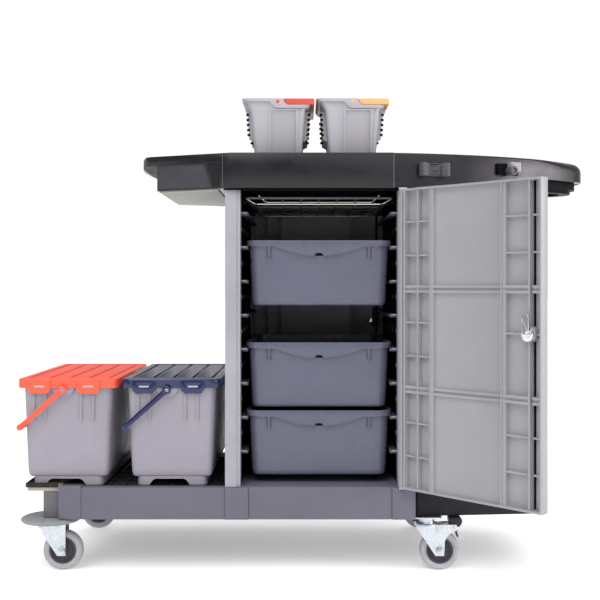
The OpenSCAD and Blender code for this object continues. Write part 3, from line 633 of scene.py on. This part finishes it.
def mop_box(side):
    node = "mop_box_" + side
    lo, hi = layout_box(node)
    lid_lo, lid_hi = layout_box("box_lid_" + side)
    x, z1 = (lid_lo.x + lid_hi.x) / 2, hi.z
    foot = lo.z

    def level(face, s, z):
        if z > SKIRT_FOOT:
            return 4
        ribbed = face in ("front", "back") and any(abs(s - r) < 2.5 for r in BOX_RIBS) and z > RIB_FOOT
        return 5 if ribbed else 0

    bm = bmesh.new()
    stops = sorted(r + e for r in BOX_RIBS for e in (-2.5, 2.5))
    tub(bm, (x, 0), [(239, 192, 488, 9), (242, 199, 496, 12), (249, 203, 501, 14), (258, 205, 503, 15),
                     (466, 224, 506, 19), (z1, 224, 506, 19)],
        [239, 242, 250, 262, RIB_FOOT, SKIRT_FOOT, z1], level, stops)
    for s in BOTH:
        prism(bm, arc(x + PIVOT_AT, 470, 29, 180, 360, 20), s * 248, s * 259.5, "xz")
        rod(bm, (x + PIVOT_AT, s * 255, PIVOT_Z), (x + PIVOT_AT, s * 272.5, PIVOT_Z), 4.6, 24)
    piece(node + "_tub", bm, node, bevel=1)
    bm = carve(
        shape(loft, [[(x + u, v, z) for u, v in round_rect(176, 490, 15)] for z in (foot, 241)]),
        shape(prism, shifted(round_rect(168, 482, 11), x), foot - 1, 236),
        shape(prism, [(x + ARCH_AT - ARCH_HALF, foot - 1), (x + ARCH_AT + ARCH_HALF, foot - 1),
                      (x + ARCH_AT + ARCH_HALF - 9, 229), (x + ARCH_AT + ARCH_HALF - 16, 233),
                      (x + ARCH_AT - ARCH_HALF + 16, 233), (x + ARCH_AT - ARCH_HALF + 9, 229)],
              -250, 250, "xz"))
    extra(node + "_foot", bm, node)


def box_lid(side):
    node = "box_lid_" + side
    lo, hi = layout_box(node)
    x = (lo.x + hi.x) / 2
    w, d = hi.x - lo.x, LID_DEEP
    top, skirt = hi.z, SKIRT_FOOT

    def plate(z, inset):
        return [(x + u, v, z) for u, v in round_rect(w - 2 * inset, d - 2 * inset, 17, 2)]

    cutters = [
        shape(prism, shifted(round_rect(w - 7, d - 7, 16, 2), x), skirt - 1, top - 7.5),
        shape(prism, shifted(round_rect(w - 40, d - 66, 9, 3), x), top - 5.2, top + 2),
    ]
    for seam in [x + t + e * TAB_HALF for t in TAB_AT for e in BOTH]:
        for s in BOTH:
            cutters.append(shape(block, (seam - 0.8, seam + 0.8), sorted((s * (d / 2 - 1.2), s * (d / 2 + 2))),
                                 (skirt - 1, top - 4)))
    bm = carve(shape(loft, [plate(skirt, 0), plate(top - 3, 0), plate(top - 0.9, 0.9), plate(top, 3)]), *cutters)
    pad = (w - 40 - 5 * 8) / 4
    for k in range(4):
        px = x - (w - 40) / 2 + 8 + pad / 2 + k * (pad + 8)
        loft(bm, [[(px + u, v, z) for u, v in round_rect(pad - 2 * e, d - 84 - 2 * e, 8, 3)]
                  for z, e in ((top - 5.7, 0), (top - 1.2, 0), (top - 0.2, 1.2))])
    tab = [(-TAB_HALF + 1, top - 3), (-TAB_HALF + 1, 459), (-TAB_HALF + 9, 450.5), (TAB_HALF - 9, 450.5),
           (TAB_HALF - 1, 459), (TAB_HALF - 1, top - 3)]
    for t in TAB_AT:
        for s in BOTH:
            part = carve(shape(prism, shifted(tab, x + t), s * (d / 2 - 3), s * (d / 2 + 1.8), "xz"),
                         shape(block, (x + t - 12.5, x + t + 13.5), sorted((s * 250, s * 270)), (465.5, 470.5)))
            mesh = as_mesh("tab", part)
            bm.from_mesh(mesh)
            bpy.data.meshes.remove(mesh)
    piece(node + "_cover", bm, node, bevel=0.7, sharp=40)
    bm = bmesh.new()
    for t in TAB_AT:
        for s in BOTH:
            block(bm, (x + t - 12, x + t + 13), sorted((s * (d / 2 - 1), s * (d / 2 + 2.3))), (465.8, 470.2))
    extra(node + "_catches", bm, node, slot="bucket_grey", bevel=0.4)


def joint_at(name):
    """Where a joint is, in the layout."""
    return (Vector(JOINTS[name]["pos_m"]) - ORIGIN) / MM


def box_handle(side):
    node = "box_handle_" + side
    lo, hi = layout_box(node)
    pivot = joint_at(node + "_swing")
    grip = Vector((lo.x + 8, 0, lo.z + 8))
    arm = Vector((grip.x - pivot.x, 0, grip.z - pivot.z))
    along, up = arm.normalized(), Vector((-arm.z, 0, arm.x)).normalized()
    bm = bmesh.new()
    inner = hi.y - 5
    section = [(-7, 0), (7, 0), (7, 2.6), (3.6, 2.8), (2.4, 4.4), (0, 5.2), (-2.4, 4.4), (-3.6, 2.8), (-7, 2.6)]
    for s in BOTH:
        rings = []
        for t, grow in ((7, 1.1), (14, 0.95), (arm.length - 20, 0.85), (arm.length, 1)):
            at = pivot + along * t
            rings.append([(at.x + up.x * u * grow, s * (inner + v), at.z + up.z * u * grow) for u, v in section])
        loft(bm, rings)
        lathe(bm, [(5, s * inner), (10.5, s * inner), (10.5, s * (inner + 4)), (9, s * (inner + 5.4)),
                   (5, s * (inner + 5.4))], (pivot.x, 0, pivot.z), "y", 32)
    ends = inner + 5
    profile = [(0.01, -ends), (6.5, -ends), (8, -ends + 2), (8, -ends + 16), (6.6, -ends + 20)]
    profile += [(7.8, -70), (7.8, -66)]
    profile += [(r, -y) for r, y in profile[::-1]]
    lathe(bm, profile, (grip.x, 0, grip.z), "y", 32)
    piece(node + "_bar", bm, node, bevel=0.6, sharp=45)


for side in ("left", "right"):
    mop_box(side)
    box_lid(side)
    box_handle(side)

# ---- hand buckets ----

PANEL = (-20, 48)  # the ridges on both sides of a bucket's front panel
STEP_LOW, STEP_TOP = (-22, -6), (10, 22)  # where the rim's lower and upper edges step down
STEP = 16.3


def stepped(x, z, at):
    t = min(1, max(0, (x - at[0]) / (at[1] - at[0])))
    return z - STEP * t


def hand_bucket(side):
    node = "hand_bucket_" + side
    lo, hi = layout_box(node)
    x, y = (lo.x + hi.x) / 2, (lo.y + hi.y) / 2
    w, d, z0, z1 = hi.x - lo.x, hi.y - lo.y, lo.z, hi.z
    band = z1 - 8

    def bend(px, z):
        if z == z1:
            return stepped(px, z, STEP_TOP)
        return stepped(px, z, STEP_LOW) if z == band else z

    def level(face, s, z):
        if z > band:
            return 6
        if face == "corner":
            return 1.4
        if face in ("front", "back"):
            if z > z1 - 26:
                return 0
            ridge = min(abs(s - PANEL[0]), abs(s - PANEL[1])) < 2
            inside = PANEL[0] < s < PANEL[1]
            return 2.6 if ridge or (inside and z > z1 - 30) else -2 if inside else 0
        return 0

    bm = bmesh.new()
    stops = sorted([PANEL[0] - 2, PANEL[0] + 2, -14, -10, -6, 10, 16, 22, PANEL[1] - 2, PANEL[1] + 2])
    rows = [z0, z0 + 3, z0 + 10, z1 - 30, z1 - 26, band, z1]
    tub(bm, (x, y), [(z0, w - 84, d - 72, 4), (z0 + 3, w - 79, d - 64, 5), (z0 + 10, w - 75, d - 60, 5),
                     (z1 - 30, w - 50, d - 16, 10), (z1 - 8, w - 24, d - 12, 11), (z1, w - 12, d - 12, 12)],
        rows, level, stops, bend)
    piece(node + "_tub", bm, node, bevel=0.9)
    edge = w / 2 - 13
    bm = bmesh.new()
    ends = [(s, t) for s in BOTH for t in BOTH]
    for s, t in ends:
        prism(bm, [(x + s * (edge - 22), z1 - 108), (x + s * (edge - 5), z1 - 99), (x + s * edge, z1 - 28),
                   (x + s * (edge - 17), z1 - 28)], y + t * (d / 2 - 46), y + t * (d / 2 - 49), "xz")
    extra(node + "_wings", bm, node, bevel=0.4)
    # Near-black blocks on the side wings: painted shade standing for the shaded ladder cut-outs.
    bm = bmesh.new()
    for s, t in ends:
        for k in range(5):
            z = z1 - 38 - 13 * k
            out = edge - (z1 - 28 - z) * 0.06
            block(bm, sorted((x + s * (out - 4), x + s * (out + 3.5))),
                  sorted((y + t * (d / 2 - 45.5), y + t * (d / 2 - 52))), (z, z + 6))
    extra(node + "_cutout_shade", bm, node, slot="liner_dark", bevel=0.4)


def bail(side):
    node = "bail_" + side
    lo, hi = layout_box(node)
    pivot = joint_at(node + "_swing")
    y, half, right = (lo.y + hi.y) / 2, (hi.y - lo.y) / 2, hi.x
    bm = bmesh.new()
    low, high = pivot.z - 7.4, pivot.z + 7.4
    bar = [(pivot.x + 23, low), (right - 3, low), (right, low + 3), (right, high - 3), (right - 3, high),
           (pivot.x + 12, high)]
    for s in BOTH:
        prism(bm, bar, y + s * half, y + s * (half - 9), "xz")
        rod(bm, (pivot.x, y + s * (half + 0.4), pivot.z), (pivot.x, y + s * (half - 11), pivot.z), 4.6, 24)
        prism(bm, [(pivot.x - 4, pivot.z - 4), (pivot.x + 26, pivot.z - 4), (pivot.x + 26, pivot.z + 4),
                   (pivot.x - 4, pivot.z + 4)], y + s * (half - 8.2), y + s * (half - 10.5), "xz")
    block(bm, (right - 13.6, right - 0.4), (y - half + 0.4, y + half - 0.4), (low + 0.4, high - 0.4))
    piece(node + "_grip", bm, node, bevel=1.5, sharp=30)


for side in ("left", "right"):
    hand_bucket(side)
    bail(side)

# ---- doors ----

DOOR_T = 12.5  # half the thickness of a door
POCKET, SLOT, RIB = -7, -10.5, 8.5
DOOR_COLUMNS = (  # (from, to, level) across the inside, measured from the hinge
    (0, 9, DOOR_T), (9, 12, 4), (12, 17, DOOR_T), (17, 52.5, POCKET), (52.5, 57.5, RIB), (57.5, 93, POCKET),
    (93, 107, 10), (107, 305, 2), (305, 308, DOOR_T), (308, 316, 7), (316, 377, POCKET), (377, 382, RIB),
    (382, 389, SLOT), (389, 410, POCKET), (410, 415, DOOR_T))


def door(node, place):
    lo, hi = layout_box(node)
    z0, z1 = lo.z, hi.z
    third = (z1 - z0) / 3
    lock = joint_at("front_lock_turn").z

    def level(s, z):
        base = next(h for a, b, h in DOOR_COLUMNS if a < s < b)
        if z < z0 + 5 or z > z1 - 5:
            return DOOR_T
        if base == SLOT:
            return base
        for k in (1, 2):
            off = abs(z - z0 - third * k)
            if off < 9:
                return max(base, 9 if off > 3 else 5)
        if base == POCKET:
            step = third / 3
            near = min(abs(z - z0 - step * k) for k in range(1, 9))
            if s > 316 and z0 + third < z < z0 + 2 * third:
                near = abs(z - lock)
            if near < 2:
                return 5
        return base

    us = [DOOR_COLUMNS[0][0]] + [b for _, b, _ in DOOR_COLUMNS]
    vs = [z0, z0 + 5, z1 - 5, z1, lock - 2, lock + 2]
    for k in (1, 2):
        vs += [z0 + third * k + e for e in (-9, -3, 3, 9)]
    vs += [z0 + third * (k / 3) + e for k in (1, 2, 4, 5, 7, 8) for e in (-2, 2)]
    bm = bmesh.new()
    terrace(bm, us, sorted(vs), level, lambda s, z, h: (-s, h, z), back=-DOOR_T)
    piece(node + "_leaf", bm, node, bevel=1.0, place=place)
    bm = bmesh.new()
    lathe(bm, [(12, -DOOR_T + 1), (18, -DOOR_T + 1), (18, DOOR_T - 2), (16, DOOR_T - 0.5), (12, DOOR_T - 0.5)],
          (-380, 0, lock), "y", 40)
    extra(node + "_lock_boss", bm, node, place=place)
    # A near-black strip in the lock-side slot: painted shade for the slot's shaded depth.
    slot = shape(block, (-388.8, -382.2), (-10.4, -8), (z0 + 6, z1 - 6))
    extra(node + "_slot", slot, node, slot="liner_dark", place=place)


front_hinge = joint_at("front_door_hinge")
rear_hinge = joint_at("rear_door_hinge")
front_open = Matrix.Rotation(rad(-JOINTS["front_door_hinge"]["range_deg"][0]), 4, "Z")
door("front_door", Matrix.Translation((front_hinge.x, front_hinge.y, 0)) @ front_open)
door("rear_door", Matrix.Translation((rear_hinge.x, rear_hinge.y, 0)) @ Matrix.Rotation(math.pi, 4, "Z"))

# ---- casters ----

for corner in ("front_left", "rear_left", "front_right", "rear_right"):
    softened("fork_" + corner, 0.9)
    axle = joint_at("roll_" + corner)
    lo, hi = layout_box("tyre_" + corner)
    r, half = (hi.z - lo.z) / 2, (hi.y - lo.y) / 2
    bm = bmesh.new()
    tread = [(r - 16, -12), (r - 14.5, -13.5), (r - 10, -15.4), (r - 6, -half), (r - 2.5, 3 - half), (r, 9 - half)]
    lathe(bm, tread + [(a, -b) for a, b in tread[::-1]], axle, "y", 96)
    piece("tyre_" + corner + "_tread", bm, "tyre_" + corner, sharp=50)
    bm = bmesh.new()
    rim = [(6.2, -16.5), (13, -16.5), (14.5, -15), (15.5, -8.5), (25, -7.5), (27.5, -9), (28.5, -12.8),
           (30, -13.4), (31.5, -12.6), (34, -12)]
    lathe(bm, rim + [(a, -b) for a, b in rim[::-1]], axle, "y", 96)
    piece("hub_" + corner + "_wheel", bm, "hub_" + corner, sharp=35)
    lo, hi = layout_box("fork_" + corner)
    for s, y in ((-1, lo.y), (1, hi.y)):
        bm = bmesh.new()
        for a, b, r in ((0, 1.2, 8.5), (0.8, 4.5, 6)):
            prism(bm, arc(axle.x, axle.z, r, 0, 360, 24 if r > 7 else 6)[:-1], y + s * a, y + s * b, "xz")
        extra("fork_" + corner + "_bolt_" + ("front" if s < 0 else "rear"), bm, "fork_" + corner, bevel=0.5)

for side in ("front", "rear"):
    node = "bumper_" + side
    lo, hi = layout_box(node)
    x, y, r = (lo.x + hi.x) / 2, (lo.y + hi.y) / 2, (hi.x - lo.x) / 2
    bm = bmesh.new()
    z0, z1 = lo.z, hi.z
    lathe(bm, [(20.3, z0), (r - 9, z0), (r - 4, z0 + 1), (r - 1, z0 + 3.5), (r, z0 + 6.5), (r - 1, z0 + 9),
               (r - 5, z1 - 2), (r - 14, z1 - 0.7), (r - 30, z1), (20.3, z1)], (x, y, 0), "z", 96)
    piece(node + "_disc", bm, node, sharp=50)

for side in ("front", "rear"):
    node = "brake_" + side
    pin = joint_at(node + "_rock")
    y = pin.y
    bm = bmesh.new()
    rod(bm, (pin.x, y - 15, pin.z), (pin.x, y + 15, pin.z), 7)
    prism(bm, [(pin.x - 6, pin.z), (pin.x + 15, pin.z), (pin.x + 21, 121), (pin.x + 21, 130), (pin.x + 17, 134),
               (pin.x - 8, 134), (pin.x - 12, 131), (pin.x - 12, 122), (pin.x - 6, 119)], y - 19, y + 19, "xz")
    piece(node + "_pedal", bm, node, bevel=1.5)
    at_pin = Matrix.Translation((pin.x, y, pin.z))
    bm = shape(prism, [(4, -8), (20, -13), (44, -13), (50, -8), (50, 8), (44, 13), (20, 13), (4, 8)], -1.6, 1.6)
    bm.transform(at_pin @ Matrix.Rotation(rad(52), 4, "Y"))
    rod(bm, (pin.x, y - 23.5, pin.z), (pin.x, y + 23.5, pin.z), 3)
    extra(node + "_paddle", bm, node, slot="zinc_steel", bevel=0.8)
    shoe = shape(prism, [(5, -11), (30, -11), (30, 11), (5, 11)], 1, 5)
    shoe.transform(at_pin @ Matrix.Rotation(rad(74), 4, "Y"))
    extra(node + "_shoe", shoe, node, slot="brake_black", bevel=1)

# ---- bag holder: its fascia sweeps round a pointed nose, and the lid follows it ----

NOSE_CENTRE, NOSE_R, TIP_X = (99.4, 675.1), 977, 661
TIP_R = NOSE_R - math.hypot(TIP_X - NOSE_CENTRE[0], NOSE_CENTRE[1])
SEAM_X = layout_box("bag_ring")[0].x
TRAY_TOP, TRAY_FLOOR, TRAY_FOOT = layout_box("top_tray")[1].z, 1003, layout_box("top_tray")[0].z
FASCIA_WALL, FLANGE = 6, 57


def smooth(t):
    t = min(1, max(0, t))
    return t * t * (3 - 2 * t)


def nose_path(x0):
    """Points of the fascia's outline with their outward normals, from the front round to the back."""
    cx, cy = NOSE_CENTRE
    a0 = -math.degrees(math.acos((x0 - cx) / NOSE_R))
    a1 = math.degrees(math.atan2(-cy, TIP_X - cx))
    side = [(x, y + cy, x, y) for x, y in arc(0, 0, NOSE_R, a0, a1, 44)]
    side = [(x + cx, y, nx / NOSE_R, ny / NOSE_R) for x, y, nx, ny in side]
    tip = [(TIP_X + TIP_R * nx, TIP_R * ny, nx, ny) for nx, ny in arc(0, 0, 1, a1, -a1, 18)][1:-1]
    return side + tip + [(x, -y, nx, -ny) for x, y, nx, ny in side[::-1]]


def top_round(x):
    return 4.5 + 19 * smooth((x - 590) / 160)


def lower_edge(x):
    return TRAY_FOOT + 36 * min(1, max(0, (x - SEAM_X - 30) / 389))


def bag_ring():
    bm = bmesh.new()
    rings = []
    for x, y, nx, ny in nose_path(SEAM_X):
        r = top_round(x)
        inner = max(FASCIA_WALL, r + 1)
        low = lower_edge(x)
        section = [(FASCIA_WALL, low), (1.2, low), (0, low + 1.2), (0, (low + TRAY_TOP) / 2)]
        section += [(r - r * math.cos(rad(a)), TRAY_TOP - r + r * math.sin(rad(a))) for a in range(0, 91, 15)]
        section += [(inner, TRAY_TOP), (inner, TRAY_FLOOR + 5), (FLANGE, TRAY_FLOOR + 5),
                    (FLANGE, TRAY_FLOOR), (FASCIA_WALL, TRAY_FLOOR)]
        rings.append([(x - nx * i, y - ny * i, z) for i, z in section])
    loft(bm, rings)
    half = -nose_path(SEAM_X)[0][1]
    block(bm, (SEAM_X, SEAM_X + 6), (2 - half, half - 2), (TRAY_FOOT, TRAY_TOP - 18.5))
    for s in BOTH:
        block(bm, (SEAM_X, SEAM_X + 6), sorted((s * 243, s * (half - 2))), (TRAY_FOOT, TRAY_TOP - 1))
    block(bm, (SEAM_X, SEAM_X + 24), (8 - half, half - 8), (TRAY_FLOOR, TRAY_FLOOR + 5))
    piece("bag_ring_fascia", bm, "bag_ring", sharp=40)
    # Thin raised beads at the seam; their paler colour is a painted highlight along the seam's edge.
    bm = bmesh.new()
    for s in BOTH:
        rod(bm, (SEAM_X, s * (half + 0.2), TRAY_FOOT + 1), (SEAM_X, s * (half + 0.2), TRAY_TOP - 3), 1.1, 10)
    extra("bag_ring_seam_highlight", bm, "bag_ring", slot="clip_dark")


def bag_lid():
    pin = joint_at("bag_lid_hinge")
    start = pin.x + 11
    bm = bmesh.new()

    def ring(gap, z):
        rim = [(x, y, nx, ny, max(FASCIA_WALL, top_round(x) + 1) + gap) for x, y, nx, ny in nose_path(start)]
        return [(x - nx * i, y - ny * i, z) for x, y, nx, ny, i in rim]

    loft(bm, [ring(1.6, TRAY_TOP - 5), ring(1.6, TRAY_TOP - 1.2), ring(2.8, TRAY_TOP)])
    loft(bm, [ring(16, TRAY_TOP - 14), ring(16, TRAY_TOP - 4.9)])
    block(bm, (pin.x, start + 1), (-224, 224), (TRAY_TOP - 5, TRAY_TOP - 0.2))
    rod(bm, (pin.x, -224.5, pin.z), (pin.x, 224.5, pin.z), 5.4, 24)
    piece("bag_lid_cover", bm, "bag_lid", sharp=40)
    bm = bmesh.new()
    for k in range(5):
        block(bm, (470 + 22 * k, 474 + 22 * k), (-90 + 12 * k, 90 - 12 * k), (TRAY_TOP - 0.5, TRAY_TOP + 1.2))
    extra("bag_lid_ribs", bm, "bag_lid", bevel=0.6)


bag_ring()
bag_lid()
softened("bag_clamp_ring", 1, slot="liner_dark")
softened("end_lip", 2)

# ---- cabinet inside: ledge tips and the wire shelf ----

RUNNER_TOP, RUNNER_PITCH = layout_box("drawer_runners")[1].z, 86.3
BAY_LEFT, BAY_RIGHT = layout_box("drawer_runners")[0].x, layout_box("drawer_runners")[1].x
LEDGE = 13.5


def ledge_tips():
    bm = bmesh.new()
    for k in range(8):
        z = RUNNER_TOP - RUNNER_PITCH * k
        for x in ((BAY_LEFT, BAY_LEFT + LEDGE), (BAY_RIGHT - LEDGE, BAY_RIGHT)):
            block(bm, x, (-242, -239.8), (z - 3.4, z))
    extra("drawer_runners_tips", bm, "drawer_runners", slot="post_grey", bevel=0.6)
    bm = bmesh.new()
    for k in range(7):
        z = RUNNER_TOP - RUNNER_PITCH * (k + 0.5)
        for x in ((BAY_LEFT - 0.5, BAY_LEFT + 2), (BAY_RIGHT - 2, BAY_RIGHT + 0.5)):
            for y in (-233, -120, 0, 120):
                block(bm, x, (y, y + 9), (z - 5, z + 5))
    extra("runner_panels_studs", bm, "runner_panels", slot="runner_grey", bevel=0.6)


def bay_stop():
    """A strip that closes the slit between the bay's floor plate and the cabinet's."""
    lo, hi = layout_box("bay_floor")
    strip = shape(block, (hi.x - 3, hi.x + 0.2), (lo.y + 1, hi.y - 1), (lo.z + 0.5, hi.z + 0.2))
    extra("bay_floor_stop", strip, "bay_floor", bevel=0.5)


def wire_shelf():
    lo, hi = layout_box("wire_shelf")
    mid = (lo.x + hi.x) / 2
    w1, z1 = (hi.x - lo.x) / 2 - 3, hi.z - 3
    w0, z0 = w1 - 22.5, z1 - 13
    front, y0, y1 = lo.y + 3, -240, hi.y - 3
    bm = bmesh.new()
    tube(bm, rounded([(mid - w0, y0, z0), (mid + w0, y0, z0), (mid + w0, y1 - 5, z0), (mid - w0, y1 - 5, z0)], 10),
         2.2, closed=True)
    for s in BOTH:
        rod(bm, (mid + s * w0, y0, z0), (mid + s * w1, y0, z1), 2.2, 12)
    tube(bm, rounded([(mid - 153, y0 + 5, z1 + 9), (mid - 134, y0 + 5, z0 + 4.6), (mid + 134, y0 + 5, z0 + 4.6),
                      (mid + 153, y0 + 5, z1 + 9)], 6, closed=False), 2.4)
    piece("wire_shelf_grid", bm, "wire_shelf", sharp=60)
    bm = bmesh.new()
    tube(bm, rounded([(mid - w1, front, z1), (mid + w1, front, z1), (mid + w1, y1, z1), (mid - w1, y1, z1)], 14),
         3, closed=True)
    for y in (-125, -10, 105, y1 - 5):
        for s in BOTH:
            rod(bm, (mid + s * w0, y, z0), (mid + s * w1, y, z1), 2.2, 12)
    rod(bm, (mid - w0 + 3, y0 + 12, z0), (mid + w0 - 3, y0 + 12, z0), 1.8, 10)
    for i in range(-3, 4):
        x = mid + i * 46
        rod(bm, (x, y0, z0), (x, y1 - 5, z0), 1.7, 10)
        rod(bm, (x, y0, z0), (x, front, z1), 1.7, 10)
        rod(bm, (x, y1 - 5, z0), (x, y1, z1), 1.7, 10)
    extra("wire_shelf_frame", bm, "wire_shelf", slot="runner_grey", sharp=60)


ledge_tips()
bay_stop()
wire_shelf()

# ---- tray: the flush cheek that sweeps down beside the basin, and the seams, drawn with a painted highlight ----

CHEEK_X, SEAM_LEFT = -262, -204
RIM_FOOT, TAPER_X, TAPER = 1031, -185, 0.409


def tray_side(x):
    return layout_box("top_tray")[1].y - max(0, TAPER_X - x) * TAPER


def tray_cheeks():
    bm = bmesh.new()
    for s in BOTH:
        rings = []
        for k in range(17):
            z = RIM_FOOT + 1 - (RIM_FOOT - TRAY_FOOT + 1) * k / 16
            x0 = CHEEK_X + 29 * math.sqrt(max(0, min(1, (RIM_FOOT - z) / 66)))
            xs = [x0 + (SEAM_LEFT - x0) * i / 4 for i in range(5)]
            rings.append([(x0, s * (tray_side(x0) - 9), z)] + [(x, s * (tray_side(x) - 0.1), z) for x in xs]
                         + [(SEAM_LEFT, s * (tray_side(SEAM_LEFT) - 9), z)])
        loft(bm, rings)
    extra("top_tray_cheeks", bm, "top_tray", bevel=1.2, sharp=50)
    # Thin raised beads at the seam; their paler colour is a painted highlight along the seam's edge.
    bm = bmesh.new()
    for s in BOTH:
        y = s * (tray_side(SEAM_LEFT - 2) + 0.1)
        rod(bm, (SEAM_LEFT - 2, y, TRAY_FOOT + 1), (SEAM_LEFT - 2, y, TRAY_TOP - 3), 0.8, 10)
    extra("top_tray_seam_highlight", bm, "top_tray", slot="runner_grey")


def tray_end():
    """A near-black plate under the rim's left end, painted shade for its shaded underside, and a paler panel on the
    basin's recessed wall, a painted sheen.
    """
    left, basin = layout_box("top_tray")[0].x, -380
    bm = bmesh.new()
    half = [(left + 9, 30), (left + 13, tray_side(left) - 60), (left + 20, tray_side(left) - 20),
            (left + 30, tray_side(left + 30) - 6), (CHEEK_X, tray_side(CHEEK_X) - 3),
            (CHEEK_X, tray_side(CHEEK_X) - 7.5), (basin + 1, tray_side(basin) - 7.5)]
    prism(bm, half + [(x, -y) for x, y in half[::-1]], RIM_FOOT - 0.8, RIM_FOOT + 1)
    extra("top_tray_underside_shade", bm, "top_tray", slot="liner_dark")
    # The paler panel is a painted sheen on the recessed wall.
    for s, side in ((-1, "front"), (1, "rear")):
        bm = bmesh.new()
        a, b = basin + 4, CHEEK_X + 3
        ya, yb = tray_side(a) - 8, tray_side(b) - 8
        rings = [[(a, s * (ya + e), TRAY_FOOT + 6), (b + 22, s * (tray_side(b + 22) - 8 + e), TRAY_FOOT + 6),
                  (b + 3, s * (yb + 1.2 + e), RIM_FOOT - 5), (a, s * (ya + e), RIM_FOOT - 5)] for e in (-1, 0.5)]
        loft(bm, rings)
        extra("top_tray_wall_sheen_" + side, bm, "top_tray", slot="hub_grey", bevel=0.3)


tray_cheeks()
tray_end()

# ---- tool clips ----


def on_fascia(node, x):
    """The place of a clip at x on the bag holder's fascia."""
    cx, cy = NOSE_CENTRE
    y = cy - math.sqrt(NOSE_R ** 2 - (x - cx) ** 2)
    turn = math.atan((x - cx) / (cy - y))
    return Matrix.Translation((x, y, layout_box(node)[0].z)) @ Matrix.Rotation(turn, 4, "Z")


def tool_clip(node, x):
    place = on_fascia(node, x)
    bm = bmesh.new()
    hollow = arc(0, -20, 16, 150, 30, 16)
    prism(bm, [(-25, -0.3), (-25, -12)] + hollow + [(25, -12), (25, -0.3)], 3, 29)
    for s in BOTH:
        jaw = [(24, -0.4), (37, -0.4), (37, -24), (34, -29), (28, -29), (24, -25), (18, -20.5), (16.2, -17),
               (24, -12)]
        prism(bm, [(s * u, v) for u, v in jaw][::s], 0, 32)
    piece(node + "_jaws", bm, node, bevel=1.1, place=place)
    bm = bmesh.new()
    for z in (0.2, 15, 30):
        prism(bm, [(-24.5, -0.4), (-24.5, -9), (24.5, -9), (24.5, -0.4)], z, z + 1.8)
    extra(node + "_webs", bm, node, bevel=0.4, place=place)


def roller_clip(node, x):
    place = on_fascia(node, x)
    tab = shape(prism, [(-2, -6), (-2, -22), (2, -26), (27, -26), (31, -22), (31, -6)], 9, 32)
    piece(node + "_tab", tab, node, bevel=1.6, place=place)
    # A near-black plate behind tab and roller: painted shade for the clip's shaded jaw and its shadow on the
    # fascia.
    plate = shape(prism, [(-31, -0.3), (-31, -6), (-27, -8), (31, -8), (34, -5), (34, -0.3)], 0, 29)
    extra(node + "_plate", plate, node, slot="liner_dark", bevel=1, place=place)
    bm = bmesh.new()
    lathe(bm, [(6.5, -31), (8.5, -32), (11, -31), (12, -29), (12, -8), (6.5, -8)], (3, 0, 10), "y", 40)
    rod(bm, (3, -7, 10), (3, -28.5, 10), 5.4, 24)
    extra(node + "_roller", bm, node, slot="clip_dark", bevel=0.4, place=place)


tool_clip("tool_clip_front", 320)
roller_clip("tool_clip_side", 517)

# ---- floor, light and camera ----


def stage_floor():
    bm = bmesh.new()
    rings = [[Vector((r * math.cos(rad(a)), r * math.sin(rad(a)), 0)) for a in range(0, 360, 10)]
             for r in (0.5, 3, 60)]
    bm.faces.new(loft(bm, rings, caps=False)[0])
    bmesh.ops.recalc_face_normals(bm, faces=bm.faces)
    floor = placed("floor", as_mesh("floor", bm))
    mat = Mat("floor")
    colour = mat.mix(mat.ramp(mat.noise(2.5, 3), 0.3, 0.7), (0.9, 0.9, 0.9, 1), (0.93, 0.93, 0.93, 1))
    mat.link(colour, mat.shader.inputs["Base Color"])
    feed(mat.shader, Roughness=0.7, Specular_IOR_Level=0.1, Emission_Color=(1, 1, 1, 1), Emission_Strength=0.33)
    floor.data.materials.append(mat.m)


def lamp(name, kind, energy, towards, place=(0, 0, 0)):
    light = bpy.data.lights.new(name, kind)
    light.energy = energy
    obj = placed(name, light)
    obj.location = place
    obj.rotation_euler = Vector(towards).to_track_quat("-Z", "Y").to_euler()
    return light


def sun(name, towards, strength, angle):
    """A broad, even light that shines along towards."""
    lamp(name, "SUN", strength, towards).angle = rad(angle)


def softbox(name, place, aim, size, watts, tint):
    light = lamp(name, "AREA", watts, Vector(aim) - Vector(place), place)
    light.color, light.shape = tint, "RECTANGLE"
    light.size, light.size_y = size


stage_floor()
sun("key", (0.5, 1.0, -1.15), 1.45, 40)
sun("fill", (-0.6, 1.0, -0.75), 0.75, 50)
softbox("side", (3.6, -1.0, 1.15), (0.5, -0.1, 1.0), (1.6, 1.0), 52, (1, 0.94, 1))
sun("rim", (-0.5, -1.0, -1.6), 0.5, 50)
sun("top", (0, 0.15, -1), 0.9, 80)

world = bpy.data.worlds.new("studio")
world.use_nodes = True
nodes, links = world.node_tree.nodes, world.node_tree.links
lighting = nodes["Background"]
feed(lighting, Color=(1, 1, 1, 1), Strength=0.42)
backdrop = nodes.new("ShaderNodeBackground")
feed(backdrop, Color=(1, 1, 1, 1), Strength=1.05)
pick = nodes.new("ShaderNodeMixShader")
links.new(nodes.new("ShaderNodeLightPath").outputs["Is Camera Ray"], pick.inputs[0])
links.new(lighting.outputs[0], pick.inputs[1])
links.new(backdrop.outputs[0], pick.inputs[2])
links.new(pick.outputs[0], nodes["World Output"].inputs["Surface"])
bpy.context.scene.world = world
bpy.context.scene.view_settings.view_transform = "Standard"

CAMERA_AT = (0, -2880, 721)  # the eye, in the layout
camera = placed("camera", bpy.data.cameras.new("camera"))
camera.location = TO_FRAME @ Vector(CAMERA_AT)
camera.rotation_euler = (rad(90), 0, 0)
camera.data.sensor_width = 36
camera.data.lens = 62.4
camera.data.shift_x = -1 / 120
camera.data.shift_y = -7 / 300
camera.data.clip_end = 100
bpy.context.scene.camera = camera
